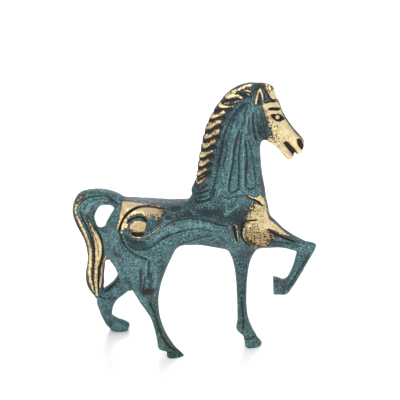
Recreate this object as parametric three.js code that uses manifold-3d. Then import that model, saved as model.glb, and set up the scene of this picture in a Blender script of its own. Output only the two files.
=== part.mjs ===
// Bronze horse statuette, cast in one piece: a horse trots to the right on three hooves and lifts
// its right forefoot. Millimetres, +Z up, +X towards the nose; -Y is the horse's right side.
// The origin lies on the ground, in the middle of the box around the whole horse.
import * as THREE from 'three';
import { mergeVertices } from 'three/addons/utils/BufferGeometryUtils.js';
import Module from 'manifold-3d';

const wasm = await Module();
wasm.setup();

// The casting is built from ribs, its cross-sections as seen from the side. A rib is
// [x, z of its back or upper edge, x, z of its front or lower edge, sideways offset, half depth].
const BODY = [
  [-37.5, 81.5, -41, 62, 0, 5.5],
  [-33.5, 83, -37, 55.5, 0, 8],
  [-26, 82.3, -28, 52.5, 0, 9.2],
  [-17, 82, -16, 57, 0, 8.8],
  [-7, 82.2, -7, 58.6, 0, 8.2],
  [3, 83, 3, 58.8, 0, 8.2],
  [13, 83, 12, 57.2, 0, 8.8],
  [24, 82, 24, 55, 0, 9],
  [32, 80, 33, 57.5, 0, 7.2],
];
const NECK = [
  [9, 64, 33, 66, 0, 7.2],
  [1.5, 74, 37.6, 77, 0, 8.4],
  [0.2, 84, 35.2, 86.5, 0, 8],
  [1.3, 96, 33.3, 97.5, 0, 7.2],
  [3.6, 109.5, 32.4, 109, 0, 6.5],
  [6.6, 122.5, 33, 116, 0, 6],
  [13, 134.3, 36, 125.5, 0, 5.6],
  [22.8, 141, 37.5, 135, 0, 4.9],
  [31, 143.4, 37, 140, 0, 3.8],
];
const HEAD = [
  [35, 141.5, 23.5, 131.5, 0, 4],
  [40.2, 136.2, 25.8, 122.5, 0, 5.4],
  [43, 129.2, 31, 115.8, 0, 5.8],
  [46.9, 123, 36.8, 113.8, 0, 5.2],
  [50.8, 117.8, 41.5, 110.5, 0, 4.5],
  [53.4, 113.9, 43.6, 107.4, 0, 4.1],
  [53, 110.8, 45, 105.9, 0, 3.3],
];
const FORELOCK = [
  [32, 143.6, 31, 136, 0, 3],
  [36.4, 143, 33.5, 137, 0, 3.8],
  [39.2, 140, 34.5, 136.5, 0, 3.8],
  [39.8, 136.6, 35, 133.5, 0, 3.4],
];
const EAR = [
  [29.2, 134.5, 33.4, 134.5, 5, 1.2],
  [30.2, 138.5, 32.8, 138.5, 4.7, 1.1],
  [31.3, 142.6, 31.9, 142.6, 3.4, 0.8],
];
const RIGHT_HIND = [
  [-35, 74, -15, 75, -0.5, 6],
  [-38, 62, -7.6, 59.7, -1.5, 8],
  [-34, 50, -12.5, 51.5, -4, 6.8],
  [-31.2, 37.5, -17.9, 37.5, -6.3, 5],
  [-27.3, 28.5, -18.5, 28.5, -7.7, 4.1],
  [-22.8, 20.5, -17.4, 19.5, -9.3, 3.3],
  [-20.4, 12.5, -15.3, 12.8, -11, 3.1],
  [-19.3, 5.4, -11.4, 6.8, -12.2, 3.4],
  [-16, 2.6, -8.6, 3.8, -12.7, 3.6],
  [-14.7, 1, -6.4, 1.8, -12.9, 4],
  [-14.3, -1.4, -4.8, -1, -12.9, 4.2],
];
const LEFT_HIND = [
  [-42, 76, -25, 74, 0, 5],
  [-44.8, 68, -25, 66, 0, 7],
  [-47, 58, -25, 54, 0, 7.6],
  [-42, 46.3, -26, 42, 1.5, 6.8],
  [-38, 41.3, -31, 31.3, 3.6, 5.6],
  [-42, 33.9, -36, 25.9, 5.2, 5.1],
  [-47.8, 29.2, -39.9, 22.8, 7, 4.8],
  [-52, 21.5, -43, 17.5, 8.5, 4.3],
  [-50.3, 12.5, -44, 12.5, 10.3, 3.8],
  [-48, 5.7, -43.7, 8.6, 11.8, 3.6],
  [-45.2, 0.3, -40.8, 6.8, 12.7, 3.9],
  [-40.5, -1.3, -37.4, 5.6, 12.9, 4.1],
  [-36.6, 0, -35.9, 3.8, 12.9, 3.3],
];
const RIGHT_FORE_ARM = [
  [22, 79, 20, 60, -0.5, 6.5],
  [32, 79.5, 29.5, 57, -1.5, 8],
  [38.2, 74.3, 36.5, 58, -2.8, 6.4],
  [45.2, 68.1, 43.3, 58.5, -3.5, 4.6],
  [52.8, 63.7, 49, 57.4, -4, 3.8],
  [60.3, 59.4, 51.8, 54.5, -4, 3.3],
];
const RIGHT_FORE_SHIN = [
  [56, 61.4, 50.5, 57.5, -4, 3],
  [61.2, 58, 51.5, 54.2, -4, 3.4],
  [56.9, 49.5, 50.2, 49.5, -4, 3.1],
  [51.1, 38.4, 46.8, 41.2, -4, 3],
  [47, 31.2, 44.3, 40, -4, 3.4],
  [40.3, 31.1, 40.1, 40.3, -4, 3.9],
];
const LEFT_FORE = [
  [11, 62, 36, 62.5, 0, 5.5],
  [16.4, 54.8, 30.2, 55, -0.4, 5],
  [19.9, 45, 27.6, 44.5, -1, 3.9],
  [21.2, 32, 26.8, 32, -1.6, 3.3],
  [22, 19, 27.1, 19, -1.9, 3.2],
  [21.5, 9.6, 29.6, 10.2, -2.1, 3.5],
  [24.3, 6, 31.4, 6.4, -2.1, 3.5],
  [25.6, 3, 33.2, 3.4, -2.1, 3.9],
  [26.3, -1.4, 34.6, -1, -2.1, 4.1],
];
const TAIL = [
  [-33, 83, -36, 78, 0, 4.6],
  [-41, 86.7, -42, 80.4, 0, 4.3],
  [-49.5, 87.5, -47.3, 79.8, 0, 4],
  [-57.3, 85.3, -50, 76.9, 0, 3.8],
  [-61.2, 77.3, -50.6, 73.2, 0, 3.6],
  [-59.5, 68.8, -49.2, 69, 0, 3.5],
  [-56.1, 60.5, -47, 61.5, 0.5, 3.5],
  [-54.8, 50, -45.8, 50, 2, 3.4],
  [-56.4, 38, -46.9, 38, 4, 3.3],
  [-55.7, 30.4, -47.2, 30, 5.5, 3],
  [-52.6, 24.5, -49.5, 23, 7, 2.6],
];
// The web of metal that ties the hanging tail to the buttock.
const TAIL_WEB = [
  [-50.5, 65, -43, 67, 0.2, 2.6],
  [-50, 58, -43, 58, 0.6, 3],
  [-50, 49, -43, 49.5, 1.6, 2.6],
];

// Cross-sections and steps along the limbs.
const SECTION_SIDES = 12;
const SMALL_SIDES = 6;
const SECTION_POWER = 2.3;
const RIB_STEPS = 2;
const TIP_RINGS = 2;
const TIP_LENGTH = 0.6;
const TIP_STEP = 36;

// The mane: a row of locks along the crest of the neck, from the withers up to the poll.
const CREST = [[-0.2, 87.5], [0.9, 95], [3, 107], [5.2, 118], [7.8, 128.2], [13, 135.6], [19.5, 140.4]];
const LOCK_COUNT = 13;
const LOCK_LENGTH = 8.5;
const TOP_LOCK_LENGTH = 12;
const LOCK_RISE = 0.42;
const TOP_LOCK_RISE = 0.2;
const LOCK_HALF_HEIGHTS = [1.5, 1.9, 1.5, 0.6];
const LOCK_DEPTHS = [2.4, 4.6, 6.1, 6.3];
const TOP_DEPTH_SHARE = 0.8;

// The tail's strands: [place across the tail, half width, first and last rib that they follow].
const STRANDS = [[0.15, 0.1, 3, 10], [0.56, 0.12, 4, 10], [0.89, 0.08, 7, 9]];
const STRAND_RELIEF = 0.45;

// Raised lines and grooves, as seen from the side: [radius, points [x, z]...]. The left flank is
// plainer and has only the first few of each.
const quarter = (x, z, radiusX, radiusZ) => [180, 150, 120, 90].map((degrees) => {
  const turn = THREE.MathUtils.degToRad(degrees);
  return [x + radiusX * Math.cos(turn), z + radiusZ * Math.sin(turn)];
});
const RIDGES = [
  [0.7, [33, 135.4], [37.5, 134], [41, 132.6]],
  [0.8, [29.5, 60.8], [25.8, 64.5], [24.5, 70.5], [26, 79], [29.5, 84.5]],
  [0.8, [-32.5, 69.5], [-31, 66.2], [-27, 65.5], [-22, 67.5], [-15.5, 72]],
  [0.8, [14, 106], [12.3, 98], [11, 91]],
  [0.8, [21.5, 107], [23.3, 99], [23.6, 93]],
];
const LEFT_RIDGES = 3;
const GROOVES = [
  [0.8, [43.3, 116.2], [46, 112.3], [49.3, 107.6], [50, 105.5]],
  [0.75, ...quarter(-27.5, 69, 11, 11.8), [-22, 80.8], [-17, 79.6]],
  [0.75, [-38, 66], [-36, 60.5], [-31, 57], [-24.5, 54.5], [-23, 50]],
  [0.75, [-24.5, 62], [-15, 66.5], [-5, 69.3], [1, 70]],
  [0.75, [-15, 72.5], [-9, 74.7], [2.5, 75.6], [13.5, 75]],
  [0.75, [36, 71], [45, 65.8], [54, 61.3]],
];
const LEFT_GROOVES = 4;
const LINE_SIDES = 4;
const LINE_STEPS = 2;

// Small rounded bosses and pits on both flanks: [x, z, half length, half height, depth, tilt].
const BOSSES = [
  [-28, 72, 4.2, 3.7, 1.3, 0],
  [40, 128.6, 2.6, 1.3, 0.8, -0.2],
];
const PITS = [
  [51.6, 113.6, 2.4, 0.8, 0.9, -1.1],
];
const BOSS_SIDES = 10;
const BOSS_RINGS = 5;

const SPAN = 60;
const TOLERANCE = 1e-4;

// Rings along a limb through its ribs.
function ringsOf(ribs, steps) {
  const edgeA = new THREE.CatmullRomCurve3(ribs.map((r) => new THREE.Vector3(r[0], r[4], r[1])));
  const edgeB = new THREE.CatmullRomCurve3(ribs.map((r) => new THREE.Vector3(r[2], r[4], r[3])));
  const depths = new THREE.SplineCurve(ribs.map((r, i) => new THREE.Vector2(i, r[5])));
  const count = (ribs.length - 1) * steps;
  return Array.from({ length: count + 1 }, (_, i) => {
    const a = edgeA.getPoint(i / count);
    const b = edgeB.getPoint(i / count);
    return {
      middle: a.clone().lerp(b, 0.5),
      across: b.sub(a).multiplyScalar(0.5),
      depth: depths.getPoint(i / count).y,
    };
  });
}

// The shrinking rings of a rounded end, beyond the ring "end".
function tip(end, inner) {
  const out = end.middle.clone().sub(inner.middle).normalize();
  return Array.from({ length: TIP_RINGS }, (_, i) => {
    const turn = THREE.MathUtils.degToRad((i + 1) * TIP_STEP);
    return {
      middle: end.middle.clone().addScaledVector(out, end.depth * TIP_LENGTH * Math.sin(turn)),
      across: end.across.clone().multiplyScalar(Math.cos(turn)),
      depth: end.depth * Math.cos(turn),
    };
  });
}

// One cross-section, an ellipse whose corners are filled out a little.
function section({ middle, across, depth }, sides) {
  const fill = (v) => Math.sign(v) * Math.abs(v) ** (2 / SECTION_POWER);
  return Array.from({ length: sides }, (_, i) => {
    const turn = ((i + 0.5) / sides) * Math.PI * 2;
    const point = middle.clone().addScaledVector(across, fill(Math.cos(turn)));
    return point.setY(point.y + depth * fill(Math.sin(turn)));
  });
}

// A limb as a solid, with a rounded end wherever it isn't cut flat.
function limb(ribs, { sides = SECTION_SIDES, steps = RIB_STEPS, flatEnd = false } = {}) {
  const rings = ringsOf(ribs, steps);
  const start = tip(rings[0], rings[1]).reverse();
  const end = flatEnd ? [] : tip(rings.at(-1), rings.at(-2));
  return skin([...start, ...rings, ...end].map((ring) => section(ring, sides)));
}

// Closed solid over a row of rings that all have the same number of points.
function skin(rings) {
  const sides = rings[0].length;
  const points = rings.flat();
  const faces = [];
  for (let r = 0; r + 1 < rings.length; r += 1) {
    for (let i = 0; i < sides; i += 1) {
      const j = (i + 1) % sides;
      const [low, high] = [r * sides, (r + 1) * sides];
      faces.push(low + i, low + j, high + j, low + i, high + j, high + i);
    }
  }
  const lids = [[rings[0], 0, 1], [rings.at(-1), (rings.length - 1) * sides, 0]];
  for (const [ring, first, turned] of lids) {
    const centre = points.length;
    points.push(ring.reduce((sum, p) => sum.add(p), new THREE.Vector3()).divideScalar(sides));
    for (let i = 0; i < sides; i += 1) {
      const [a, b] = [first + i, first + ((i + 1) % sides)];
      faces.push(...(turned ? [b, a, centre] : [a, b, centre]));
    }
  }
  const geometry = new THREE.BufferGeometry().setFromPoints(points);
  geometry.setIndex(faces);
  return solid(geometry);
}

// A closed geometry as a solid that can be joined and cut, turned right side out.
function solid(geometry) {
  const bare = geometry.clone();
  bare.deleteAttribute('normal');
  bare.deleteAttribute('uv');
  const merged = mergeVertices(bare, TOLERANCE);
  const place = merged.attributes.position;
  const index = Array.from(merged.index.array);
  const corner = (i) => new THREE.Vector3().fromBufferAttribute(place, index[i]);
  let volume = 0;
  for (let i = 0; i < index.length; i += 3) {
    volume += corner(i).dot(corner(i + 1).cross(corner(i + 2)));
  }
  return new wasm.Manifold(new wasm.Mesh({
    numProp: 3,
    vertProperties: new Float32Array(place.array),
    triVerts: new Uint32Array(volume > 0 ? index : index.reverse()),
  }));
}

// A solid as a geometry again.
function geometryOf(body) {
  const mesh = body.getMesh();
  const geometry = new THREE.BufferGeometry();
  geometry.setAttribute('position', new THREE.BufferAttribute(new Float32Array(mesh.vertProperties), 3));
  geometry.setIndex(new THREE.BufferAttribute(new Uint32Array(mesh.triVerts), 1));
  geometry.computeVertexNormals();
  return geometry;
}

// The bare animal, before its hair and its carving.
function animal() {
  let body = limb(RIGHT_FORE_SHIN, { flatEnd: true });
  for (const ribs of [NECK, HEAD, RIGHT_HIND, LEFT_FORE, TAIL]) {
    body = body.add(limb(ribs));
  }
  for (const ribs of [BODY, FORELOCK, LEFT_HIND, RIGHT_FORE_ARM, TAIL_WEB]) {
    body = body.add(limb(ribs, { steps: 1 }));
  }
  return body;
}

// One lock of the mane, at a share of the way up the crest. It wraps over both sides of the neck.
function lock(share, crest) {
  const root = crest.getPoint(share);
  const length = THREE.MathUtils.lerp(LOCK_LENGTH, TOP_LOCK_LENGTH, share ** 4);
  const rise = THREE.MathUtils.lerp(LOCK_RISE, TOP_LOCK_RISE, share ** 4);
  const along = new THREE.Vector2(1, rise).normalize();
  const up = new THREE.Vector2(-along.y, along.x);
  const depthShare = THREE.MathUtils.lerp(1, TOP_DEPTH_SHARE, share);
  const ribs = LOCK_HALF_HEIGHTS.map((half, i) => {
    const middle = root.clone().addScaledVector(along, (length * i) / (LOCK_HALF_HEIGHTS.length - 1));
    const low = middle.clone().addScaledVector(up, -half);
    const high = middle.clone().addScaledVector(up, half);
    return [high.x, high.y, low.x, low.y, 0, LOCK_DEPTHS[i] * depthShare];
  });
  return limb(ribs, { sides: SMALL_SIDES, steps: 1 });
}

// One strand of the tail, raised a little above it along some of its ribs.
function strand([place, half, first, last]) {
  const ribs = TAIL.slice(first, last + 1).map(([ax, az, bx, bz, offset, depth]) => {
    const across = (share) => [ax + (bx - ax) * share, az + (bz - az) * share];
    return [...across(place - half), ...across(place + half), offset, depth + STRAND_RELIEF];
  });
  return limb(ribs, { sides: SMALL_SIDES, steps: 1 });
}

// The point of the surface at (x, z), on the right (-1) or left (1) side of the horse.
function onFlank(surface, x, z, side) {
  const ray = new THREE.Raycaster(new THREE.Vector3(x, side * SPAN, z), new THREE.Vector3(0, -side, 0));
  return ray.intersectObject(surface)[0]?.point;
}

// A round line laid along the surface on one side.
function line([radius, ...points], side, surface) {
  const plan = new THREE.SplineCurve(points.map((p) => new THREE.Vector2(...p)));
  const places = plan.getPoints((points.length - 1) * LINE_STEPS);
  const route = places.map((p) => onFlank(surface, p.x, p.y, side)).filter(Boolean);
  const outline = new THREE.Shape().absarc(0, 0, radius, 0, Math.PI * 2);
  const path = new THREE.CatmullRomCurve3(route);
  return solid(new THREE.ExtrudeGeometry(outline, {
    curveSegments: LINE_SIDES / 2,
    steps: route.length - 1,
    extrudePath: path,
  }));
}

// A lens-shaped boss or pit on one side.
function lens([x, z, halfLength, halfHeight, depth, tilt], side, surface) {
  const geometry = new THREE.SphereGeometry(1, BOSS_SIDES, BOSS_RINGS);
  geometry.scale(halfLength, depth, halfHeight);
  geometry.rotateY(-tilt);
  const place = onFlank(surface, x, z, side);
  geometry.translate(place.x, place.y, place.z);
  return solid(geometry);
}

const bare = animal();
const surface = new THREE.Mesh(geometryOf(bare), new THREE.MeshBasicMaterial());
let horse = bare;
const crest = new THREE.SplineCurve(CREST.map((p) => new THREE.Vector2(...p)));
for (let i = 0; i < LOCK_COUNT; i += 1) {
  horse = horse.add(lock(i / (LOCK_COUNT - 1), crest));
}
for (const row of STRANDS) {
  horse = horse.add(strand(row));
}
for (const side of [-1, 1]) {
  horse = horse.add(limb(EAR.map((r) => [...r.slice(0, 4), r[4] * side, r[5]]), { sides: SMALL_SIDES, steps: 1 }));
  for (const row of RIDGES.slice(0, side < 0 ? RIDGES.length : LEFT_RIDGES)) {
    horse = horse.add(line(row, side, surface));
  }
  for (const row of BOSSES) {
    horse = horse.add(lens(row, side, surface));
  }
  for (const row of GROOVES.slice(0, side < 0 ? GROOVES.length : LEFT_GROOVES)) {
    horse = horse.subtract(line(row, side, surface));
  }
  for (const row of PITS) {
    horse = horse.subtract(lens(row, side, surface));
  }
}

// The hooves stand flat on the ground.
const ground = new THREE.BoxGeometry(4 * SPAN, 4 * SPAN, SPAN);
ground.translate(0, 0, -SPAN / 2);
horse = horse.subtract(solid(ground));

const bronze = new THREE.MeshStandardMaterial({ color: 0x3c6664, roughness: 0.6, metalness: 0.7 });
const figure = new THREE.Mesh(geometryOf(horse), bronze);
figure.name = 'horse';

const group = new THREE.Group();
group.add(figure);
export default group;
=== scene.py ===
# Bronze horse statuette with a worn blue-green patina, standing on a pale studio floor.
# The tables below are in millimetres. The finished mesh is in metres, +Z up, +X towards the nose,
# and -Y is the horse's right side, which faces the camera.
import math
from functools import partial

import bmesh
import bpy
import numpy as np
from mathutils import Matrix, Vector, noise


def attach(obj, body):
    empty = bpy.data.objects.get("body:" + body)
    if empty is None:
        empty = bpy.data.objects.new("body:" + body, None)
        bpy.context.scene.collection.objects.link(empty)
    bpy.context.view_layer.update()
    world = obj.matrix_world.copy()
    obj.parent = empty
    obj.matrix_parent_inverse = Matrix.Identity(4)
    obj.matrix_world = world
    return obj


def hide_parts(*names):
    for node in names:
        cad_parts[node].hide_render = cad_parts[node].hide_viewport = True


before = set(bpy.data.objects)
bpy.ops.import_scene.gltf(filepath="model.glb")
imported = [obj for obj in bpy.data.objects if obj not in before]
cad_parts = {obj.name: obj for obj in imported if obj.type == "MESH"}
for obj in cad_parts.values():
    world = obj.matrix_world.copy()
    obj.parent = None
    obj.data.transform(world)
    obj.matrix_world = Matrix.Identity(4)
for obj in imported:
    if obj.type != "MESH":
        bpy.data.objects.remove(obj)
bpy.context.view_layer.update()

bl_info = {
    "name": "Bronze Horse Statuette",
    "version": (1, 0, 0),
    "blender": (4, 5, 0),
    "location": "View3D > Sidebar > Horse",
    "description": "Models a small cast bronze horse with a worn patina, and its studio",
    "category": "Object",
}

MM = 0.001

# The studio, in metres: half the floor's side, and the places of the lights.
FLOOR_HALF_SIDE = 4
TOP_LIGHT = (0, 0.25, 1.3)
BACK_LIGHT = (0, 1.3, 0.6)
FRONT_LIGHT = (-0.35, -0.8, 0.5)
WHITE = (1, 1, 1, 1)

# The casting's cross-sections as seen from the side. A rib is
# [x, z of its back or upper edge, x, z of its front or lower edge, sideways offset, half depth].
BODY = [
    [-37, 82.5, -40.6, 62, 0, 5.5],
    [-33.5, 83.2, -37, 55.5, 0, 8],
    [-26, 82.3, -28, 52.5, 0, 9.2],
    [-17, 81.8, -16, 57, 0, 8.8],
    [-7, 81.9, -7, 58.6, 0, 8.2],
    [3, 82.8, 3, 58.8, 0, 8.2],
    [13, 83, 12, 57.2, 0, 8.8],
    [24, 82, 24, 55, 0, 9],
    [32, 80, 33, 57.5, 0, 7.2],
]
NECK = [
    [9, 64, 37.2, 68, 0, 7.2],
    [-1, 75, 37.4, 76.2, 0, 8.4],
    [-3.6, 82.3, 35.8, 84, 0, 8.2],
    [-1.5, 86, 35.2, 87.6, 0, 8],
    [-1.7, 88.4, 34.9, 89.9, 0, 7.9],
    [0.3, 93.8, 33.8, 95.6, 0, 7.6],
    [1.8, 104, 32.6, 105, 0, 7.2],
    [3.5, 114, 32.3, 111.5, 0, 6.9],
    [5.7, 123, 33, 116.5, 0, 6.6],
    [10.6, 133.1, 35.5, 124.5, 0, 6.2],
    [17, 140.7, 37.5, 133.5, 0, 5.4],
    [24.6, 144.5, 37.4, 138.4, 0, 4.4],
    [31, 144.6, 38, 141, 0, 3.2],
]
HEAD = [
    [35, 141.5, 23.5, 131.5, 0, 4],
    [40.2, 136.2, 25.8, 122.5, 0, 5.2],
    [43, 129.4, 31, 116.2, 0, 5.6],
    [46.6, 123.6, 37.4, 115.6, 0, 5.2],
    [49.4, 119.7, 42.6, 116.4, 0, 4.8],
    [51.8, 117.1, 46, 114.7, 0, 4.4],
    [53.8, 113.8, 48.6, 111.2, 0, 3.9],
    [53.1, 110.6, 49.7, 108.8, 0, 3.2],
]
JAW = [
    [36.5, 121.5, 34.4, 116.3, 0, 5],
    [40.6, 118.6, 38, 113.8, 0, 4.9],
    [43.6, 115.2, 40.9, 111.1, 0, 4.4],
    [46, 111.6, 42.8, 108.6, 0, 4],
    [48.5, 108.3, 44.6, 106.3, 0, 3.5],
]
# The web that closes the open mouth, set back and painted dark by its pit as painted shade.
MOUTH = [
    [45.2, 116.6, 41.6, 113.4, 0, 2.9],
    [47.6, 114.2, 43.6, 111, 0, 2.7],
    [49.6, 111.4, 45.8, 109.2, 0, 2.4],
    [49.8, 110.2, 47, 108.8, 0, 2.2],
]
FORELOCK = [
    [30, 144.3, 30, 136, 0, 2.4],
    [34, 144.1, 32, 137, 0, 3],
    [37.6, 141.8, 34, 137, 0, 3.4],
    [39.4, 138, 34.6, 135, 0, 3.6],
    [40, 135.6, 35, 132.5, 0, 3.8],
]
EAR = [
    [29, 134.5, 33.7, 134.5, 5.2, 1.3],
    [30, 138.5, 33, 138.5, 5, 1.2],
    [31.2, 141.8, 32.2, 141.8, 4, 0.9],
]
RIGHT_HIND = [
    [-35, 74, -15, 75, -0.5, 6],
    [-38, 62, -4.6, 61.5, -1.5, 8],
    [-37, 56, -8.8, 57.6, -2.5, 7.6],
    [-34.5, 48.5, -12.3, 51.4, -4, 6.8],
    [-33.2, 41, -15.6, 43.5, -5.4, 5.7],
    [-32.2, 36.3, -17.7, 36.3, -6.4, 4.9],
    [-27.8, 28.4, -18.6, 28.6, -7.7, 4.1],
    [-22.7, 20.5, -17.8, 20.5, -9.3, 3.3],
    [-20.3, 12.5, -15.6, 14, -11, 3],
    [-19.4, 7.6, -12.6, 8.3, -12, 3.1],
    [-19, 4.4, -10.4, 5, -12.4, 3.1],
    [-15.4, 3.2, -9.4, 3.6, -12.7, 3],
    [-13.6, 1.4, -8, 2, -12.8, 2.8],
]
RIGHT_HIND_HOOF = [
    [-14.5, 2.6, -8.9, 3.3, -12.8, 3],
    [-14.4, 1, -6.9, 1.5, -12.9, 3.1],
    [-14.2, -1.6, -4.2, -1.4, -12.9, 3.2],
]
LEFT_HIND = [
    [-41.6, 76, -25, 74, 0, 5],
    [-45.2, 68.6, -25, 66, 0, 7],
    [-47, 58, -25, 54, 0, 7.6],
    [-41.8, 46.2, -27, 41, 1.5, 6.8],
    [-39, 42, -31.8, 31.8, 3.6, 5.6],
    [-42.2, 33.7, -36, 27.4, 5.2, 5.1],
    [-47.8, 27.8, -40.2, 22.9, 7, 4.8],
    [-51.7, 21.5, -42.6, 18.2, 8.5, 4.3],
    [-50.2, 12.5, -43.8, 12.5, 10.3, 3.8],
    [-48.6, 7, -43.8, 9.4, 11.6, 3.3],
    [-46.4, 2.4, -41.2, 6.9, 12.6, 3.2],
    [-43.6, 0.6, -39.6, 5.8, 12.9, 3.1],
]
LEFT_HIND_HOOF = [
    [-45, 0.2, -41.8, 6.6, 12.9, 2.9],
    [-41.4, -1.5, -38.8, 6, 12.9, 3],
    [-37.4, -0.6, -35.9, 4.4, 12.9, 2.6],
]
RIGHT_FORE_ARM = [
    [22, 79, 20, 60, -0.5, 6.5],
    [32, 79.5, 29.5, 57, -1.5, 8],
    [38.4, 74.3, 36.5, 58, -2.8, 6.4],
    [45.2, 67.7, 43.3, 58.5, -3.5, 4.6],
    [52, 63.3, 48.8, 57.4, -4, 3.8],
    [56.8, 61, 52, 55.8, -4, 3],
]
RIGHT_FORE_SHIN = [
    [61.3, 59, 54.4, 60.7, -4, 2],
    [60.7, 57.2, 51.7, 55.5, -4, 3.2],
    [58.1, 51.7, 50.3, 49.2, -4, 3.1],
    [53.8, 42.8, 48.5, 43.6, -4, 3],
    [49.8, 35.3, 46.6, 40.2, -4, 3.1],
    [47.2, 31.8, 44.4, 39.6, -4, 3.5],
    [43.5, 31.4, 42.4, 40.5, -4, 3.8],
    [40.3, 31.6, 40, 41, -4, 3.9],
]
LEFT_FORE = [
    [9.5, 60.5, 37, 60, 0, 5.8],
    [13.5, 57.2, 33.8, 56.8, 0, 5.5],
    [16.8, 54.6, 31, 54.8, -0.3, 5.2],
    [19, 50.2, 28.8, 50.6, -0.7, 4.6],
    [20.2, 45.2, 27.6, 45.2, -1, 4],
    [21.1, 38, 26.9, 38, -1.4, 3.5],
    [21.6, 30, 26.7, 30, -1.7, 3.2],
    [22, 20, 27.1, 20, -1.9, 3.1],
    [22, 14.4, 28.2, 14.6, -2, 3.2],
    [21.6, 9.8, 29.8, 10.4, -2.1, 3.4],
    [23.4, 7.4, 31, 7.8, -2.1, 3.2],
    [25.6, 5.4, 32, 5.8, -2.1, 3.2],
    [26.2, 3, 33, 3.6, -2.1, 3.2],
]
LEFT_FORE_HOOF = [
    [25.4, 4.9, 32, 5.2, -2.1, 3.3],
    [25.8, 2.8, 33.9, 3, -2.1, 3.7],
    [26.2, 0.8, 35.1, 1.2, -2.1, 4],
    [26.4, -1.6, 33.9, -1.6, -2.1, 4],
]
TAIL = [
    [-33, 83, -35, 76, 0, 4.6],
    [-41, 87, -42, 80.2, 0, 4.3],
    [-50, 88.4, -46.9, 80, 0, 4],
    [-58, 86, -49.4, 76.5, 0, 3.8],
    [-61.4, 77.3, -50.4, 73.2, 0, 3.6],
    [-59.5, 68.8, -49.4, 69, 0, 3.5],
    [-56.1, 60.5, -47, 61.5, 0.5, 3.5],
    [-54.8, 50, -45.8, 50, 2, 3.4],
    [-56.4, 38, -46.9, 38, 4, 3.3],
    [-55.7, 30.4, -47.2, 30, 5.5, 3],
    [-52.6, 24.5, -49.5, 23, 7, 2.6],
]
TAIL_WEB = [
    [-50.5, 65, -43, 67, 0.2, 2.6],
    [-50, 58, -43, 58, 0.6, 3],
    [-50, 49, -43, 49.5, 1.6, 2.6],
]
HIND_WEB = [
    [-41, 46, -25, 46, -1, 6],
    [-39, 40, -28, 40, -1, 6],
    [-36.8, 34.2, -30.4, 34.2, -1, 4.6],
]

# Every limb with the squareness of its sections (2 is an ellipse) and how much the front edge narrows.
LIMBS = [
    [BODY, 3, 0],
    [NECK, 2.5, -0.4],
    [HEAD, 2.5, 0.15],
    [JAW, 2.6, 0],
    [MOUTH, 2.6, 0],
    [FORELOCK, 2.2, 0],
    [RIGHT_HIND, 2.4, 0],
    [RIGHT_HIND_HOOF, 2.3, 0.4],
    [LEFT_HIND, 2.4, 0],
    [LEFT_HIND_HOOF, 2.4, 0],
    [RIGHT_FORE_ARM, 2.5, 0],
    [LEFT_FORE, 2.4, 0],
    [LEFT_FORE_HOOF, 2.4, 0.3],
    [TAIL, 2.6, 0],
    [TAIL_WEB, 2.3, 0],
    [HIND_WEB, 2.2, 0],
]

# The mane: each bright lock's middle line from the crest to its tip, [x, z].
LOCKS = [
    [[16.4, 138.8], [19.5, 140.6], [23.4, 141.9], [28, 142.6]],
    [[12.3, 133.4], [14.6, 134.4], [17.8, 135.1], [21.5, 136]],
    [[9.3, 128.2], [11, 129.2], [13.2, 130], [16, 130.8]],
    [[7.2, 122.4], [9.3, 123.9], [11.7, 125.2], [14.6, 126.6]],
    [[6, 117.2], [8.1, 118.7], [10.5, 120.2], [13.4, 121.6]],
    [[5.1, 112.6], [7, 114], [9, 115.2], [11.5, 116.6]],
    [[4.1, 107.6], [5.8, 108.8], [7.8, 110], [10.3, 111.3]],
    [[3.5, 103], [5, 104.2], [7, 105.5], [9.6, 106.8]],
    [[2.6, 98], [4.1, 99.3], [6.1, 100.7], [8.6, 101.9]],
    [[2, 93.4], [3.5, 95.1], [5.5, 96.7], [8.2, 98]],
]

# The carving of the mane: the grooves between the locks, which start ahead of the locks by a share of
# their first stretch, the thin strand cut along each lock, and the notches in the crest.
LOCK_GROOVE_LEAD = 0.8
LOCK_GROOVE_HALF_WIDTH = 0.95
LOCK_GROOVE_DEPTH = 0.9
LOCK_STRAND_HALF_WIDTH = 0.16
LOCK_STRAND_DEPTH = 0.25
CREST_NOTCH = 0.5

# How finely the limbs and the lines are drawn, and how the limbs' ends are rounded.
SIDES = 48
RIB_STEPS = 8
LINE_STEPS = 6
TIP_RINGS = 6
TIP_LENGTH = 0.6

# Where limbs flow into each other with a wide fillet, and where edges stay crisp: [x, z, radius]. The
# crisp places are spared most of the softening.
CRISPNESS = 0.75
FILLETS = [
    [-8.5, 59.5, 5], [16, 56.5, 5], [33, 57, 4.5], [-4, 83.6, 3.4], [-34, 84.5, 4], [-33, 31, 4],
    [-48, 67.5, 2.5], [-44.5, 47, 2.5], [-39, 41, 2.5], [-47, 31, 2.5], [38, 75.5, 4], [33, 116.5, 2.5],
    [-40.6, 80, 5.5], [51, 56, 1.5],
]
CRISP = [
    [-12, 1.5, 9], [29, 3, 9], [-40, 1, 6], [60.5, 59.5, 4], [48, 110, 7], [31.8, 141, 4], [42, 34, 7],
]

# Where the flank rolls over towards the back, the ornament is looked up along a line that slants
# down from a little above, as it would be drawn on by hand: [x, z, radius, depth of the flank].
LEANS = [
    [-36, 78, 11, 9], [-31, 83, 14, 9], [-20, 83, 14, 9], [-8, 84, 13, 9], [4, 83.5, 11, 9],
    [20, 141, 14, 4.5],
]
LEAN = 0.466

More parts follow.
